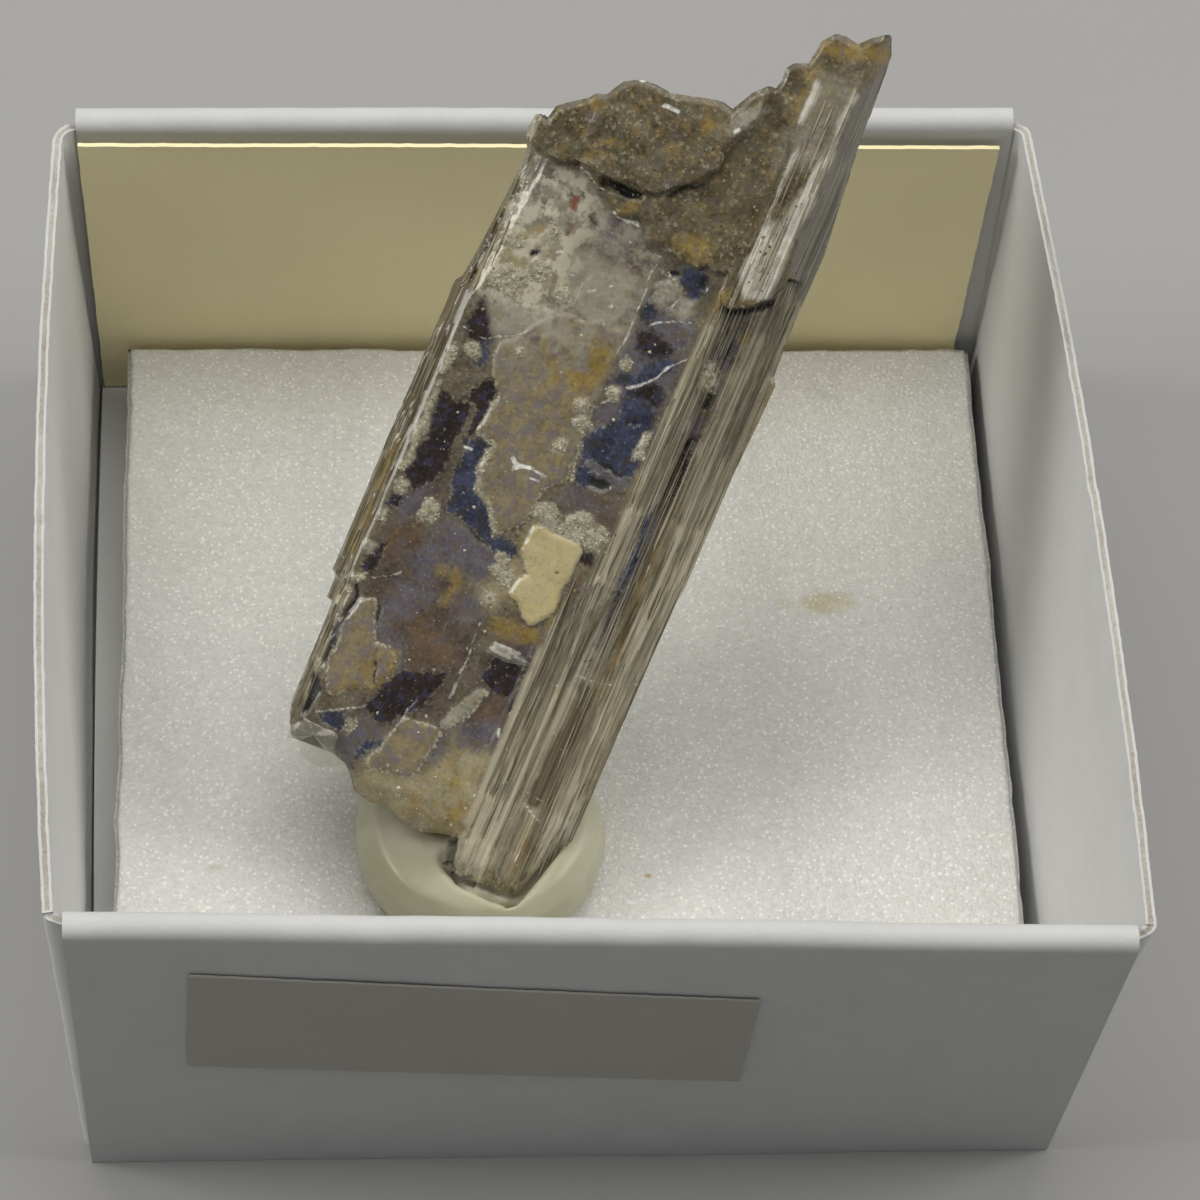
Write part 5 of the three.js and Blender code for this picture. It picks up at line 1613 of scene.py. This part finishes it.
crumb_dice = np.random.default_rng(23)
crumbs, shape, owner = swarm("mica_crumbs", 11, False)
count = owner.max() + 1
spots = np.empty((0, 2))
while len(spots) < count:
    tries = crumb_dice.uniform((-0.2, -2.3), (11.0, 29.0), (20000, 2))
    crusty = deepest(CREAM, CREAM_STROKES, tries[:, 0], tries[:, 1]) > -0.05
    torn = depth_inside(UPPER_PACKET, tries[:, 0], tries[:, 1]) > 0.1
    foot = (tries[:, 1] < 0.3) & (tries[:, 0] > 2.5) & (tries[:, 0] < 8.5)
    within = depth_inside(SILHOUETTE, tries[:, 0], tries[:, 1]) > 0.08
    chance = crusty * 1.0 + torn * 0.07 + foot * 0.05 + 0.008
    spots = np.concatenate([spots, tries[within & (crumb_dice.uniform(size=len(tries)) < chance)]])
spots = spots[:count]
radius = 0.02 + 0.06 * crumb_dice.uniform(size=count) ** 2.2
spin = crumb_dice.uniform(0, 6.28, count)[owner]
turned = np.column_stack([
    shape[:, 0] * np.cos(spin) - shape[:, 1] * np.sin(spin),
    shape[:, 0] * np.sin(spin) + shape[:, 1] * np.cos(spin), shape[:, 2] * 0.4])
turned *= 1 + 0.35 * crumb_dice.uniform(-1, 1, len(turned))[:, None]
laid = np.column_stack([spots, ground(spots[:, 0], spots[:, 1])])[owner] + turned * radius[owner][:, None]
reshape(crumbs, lambda points: laid)
keep(crumbs, "tone", crumb_dice.uniform(size=count)[owner])
keep(crumbs, "upper", depth_inside(UPPER_PACKET, laid[:, 0], laid[:, 1]))
reshape(crumbs, to_world)
crumb_material, tree = new_material("mica_crumbs")
tone = stored(tree, "tone")
upper = stored(tree, "upper")
pale = mix_colour(tree, tone, as_lit(114, 109, 90), as_lit(154, 149, 131))
olive = mix_colour(tree, tone, as_lit(64, 58, 44), as_lit(116, 108, 86))
colour = mix_colour(tree, between(tree, upper, -0.05, 0.05), pale, olive)
shader = node(tree, "BsdfPrincipled", {"Base Color": colour, "Roughness": 0.38})
shader.inputs["IOR"].default_value = MICA_IOR
finish_with(tree, shader.outputs[0])
crumbs.data.materials.append(crumb_material)
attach(crumbs, "root")
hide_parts("mica_crystal")


# ---------------------------------------------------------------- mica crystal: clear flakes
# At the lower left corner a clear sheet has sprung loose and curls up, and smaller clear flakes
# stick out at the foot. They are thin, see-through mica.
clear_material, tree = new_material("clear_mica")
shader = node(tree, "BsdfPrincipled", {"Base Color": (0.93, 0.91, 0.84, 1), "Roughness": 0.08})
shader.inputs["IOR"].default_value = MICA_IOR
shader.inputs["Transmission Weight"].default_value = 0.92
finish_with(tree, shader.outputs[0])
flakes = []
for outline, lift, curl, seed in (
    (((0.25, -0.25), (0.7, 0.12), (2.2, 0.05), (2.25, -0.7), (1.9, -0.72), (1.3, -0.35), (0.8, -0.75),
      (0.35, -0.8)), 0.05, 0.55, 61),
    (((0.5, -0.6), (2.4, -0.5), (2.9, -1.0), (1.9, -1.6), (1.0, -1.4)), -0.5, 0.15, 62),
    (((6.3, 5.6), (6.5, 6.15), (7.9, 6.0), (8.1, 5.7), (7.2, 5.5)), 0.06, 0.15, 67),
):
    line = around(outline, 0.15)
    bpy.ops.object.select_all(action="DESELECT")
    bpy.ops.mesh.primitive_circle_add(vertices=len(line), radius=1, fill_type="NGON")
    flake = start_piece("clear_flake")
    bpy.ops.object.mode_set(mode="OBJECT")
    centre = line.mean(0)
    reach = np.linalg.norm(line - centre, axis=1)
    rise = lift + curl * (reach / reach.max()) ** 2 * (0.6 + 0.4 * drift(line, 0.8, seed))
    reshape(flake, lambda points: np.column_stack([line, rise]))
    bpy.ops.object.mode_set(mode="EDIT")
    bpy.ops.mesh.select_all(action="SELECT")
    bpy.ops.mesh.poke()
    bpy.ops.mesh.select_all(action="SELECT")
    bpy.ops.mesh.extrude_region_move(TRANSFORM_OT_translate={"value": (0, 0, 0.03)})
    face_outwards()
    flakes.append(flake)
flake = join_up(flakes, "clear_flakes")
reshape(flake, to_world)
flake.data.materials.append(clear_material)
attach(flake, "root")
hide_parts("mica_crystal")


# ---------------------------------------------------------------- mounting putty
# A ball of greenish, slightly see-through putty, pressed flat on the foam, with the crystal's foot
# pushed into it so that it wells up a little around the foot.
PUTTY_LOW, PUTTY_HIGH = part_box("mounting_putty")
putty_middle = (PUTTY_LOW + PUTTY_HIGH) / 2
PUTTY_PROFILE = ((0, 0), (0, 0.93), (0.16, 0.99), (0.36, 1.0), (0.6, 0.96), (0.8, 0.84), (0.94, 0.6), (1, 0))
# How far the putty stays below the broad face, in millimetres, and how upright that face's normal is.
UNDER_FACE = 0.35
UPRIGHT = 0.777
bpy.ops.object.select_all(action="DESELECT")
bpy.ops.mesh.primitive_uv_sphere_add(segments=96, ring_count=64, radius=1)
putty = start_piece("pressed_putty")
bpy.ops.object.mode_set(mode="OBJECT")


def press(points):
    """Turns the sphere into the flattened ball, with soft dents and a rise round the foot."""
    turn = np.arctan2(points[:, 1], points[:, 0])
    latitude = np.arccos(np.clip(points[:, 2], -1, 1)) / math.pi
    stations = np.cumsum([0.0] + [math.dist(a, b) for a, b in zip(PUTTY_PROFILE, PUTTY_PROFILE[1:])])
    place = (1 - latitude) * stations[-1]
    rise = np.interp(place, stations, [row[0] for row in PUTTY_PROFILE])
    reach = np.interp(place, stations, [row[1] for row in PUTTY_PROFILE])
    round_about = np.stack([np.cos(turn), np.sin(turn)], 1)
    dent = 0.015 * drift(round_about * 3 + rise[:, None], 1.4, 81)
    reach = reach * (0.985 + dent)
    radius = (PUTTY_HIGH.x - PUTTY_LOW.x) / 2
    tall = PUTTY_HIGH.z - PUTTY_LOW.z
    made = np.column_stack([
        putty_middle.x + round_about[:, 0] * reach * radius,
        putty_middle.y + round_about[:, 1] * reach * radius,
        PUTTY_LOW.z + rise * tall * 0.98,
    ])
    made[:, 2] += 0.12 * MM * drift(made / MM, 1.6, 82) * (rise > 0.1)
    made[:, 2] = np.clip(made[:, 2], PUTTY_LOW.z, PUTTY_HIGH.z)
    # Where the foot stands, the putty stays under its upper side.
    for step in range(3):
        local = (made / MM - CRYSTAL_FOOT) @ CRYSTAL_TURN
        cover = ramp(depth_inside(SILHOUETTE, local[:, 0], local[:, 1]), -0.35, 0.15)
        over = local[:, 2] - (ground(local[:, 0], local[:, 1]) - UNDER_FACE)
        made[:, 2] -= np.clip(over, 0, None) * cover * MM / UPRIGHT
    made[:, 2] = np.clip(made[:, 2], PUTTY_LOW.z, PUTTY_HIGH.z)
    return made


reshape(putty, press)
bpy.ops.object.mode_set(mode="EDIT")
bpy.ops.mesh.select_all(action="SELECT")
bpy.ops.mesh.remove_doubles(threshold=0.00001)
bpy.ops.mesh.normals_make_consistent(inside=False)
bpy.ops.object.mode_set(mode="OBJECT")
bpy.ops.object.shade_smooth()
putty_material, tree = new_material("greenish_putty")
place = node(tree, "TexCoord").outputs["Object"]
cloud = node(tree, "TexNoise", {"Vector": place, "Scale": 260.0, "Detail": 3.0}).outputs[0]
colour = mix_colour(tree, between(tree, cloud, 0.35, 0.65), (0.37, 0.355, 0.235, 1), (0.50, 0.485, 0.36, 1))
soft = between(tree, cloud, 0.3, 0.7, 0.28, 0.5)
bump = node(tree, "Bump", {"Height": cloud, "Strength": 0.2, "Distance": 0.2 * MM})
shader = node(tree, "BsdfPrincipled", {"Base Color": colour, "Roughness": soft, "Normal": bump.outputs[0]})
shader.inputs["IOR"].default_value = 1.48
shader.inputs["Subsurface Weight"].default_value = 0.4
shader.inputs["Subsurface Radius"].default_value = (1.0, 0.95, 0.6)
shader.inputs["Subsurface Scale"].default_value = 0.8 * MM
finish_with(tree, shader.outputs[0])
putty.data.materials.append(putty_material)
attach(putty, "root")
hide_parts("mounting_putty")
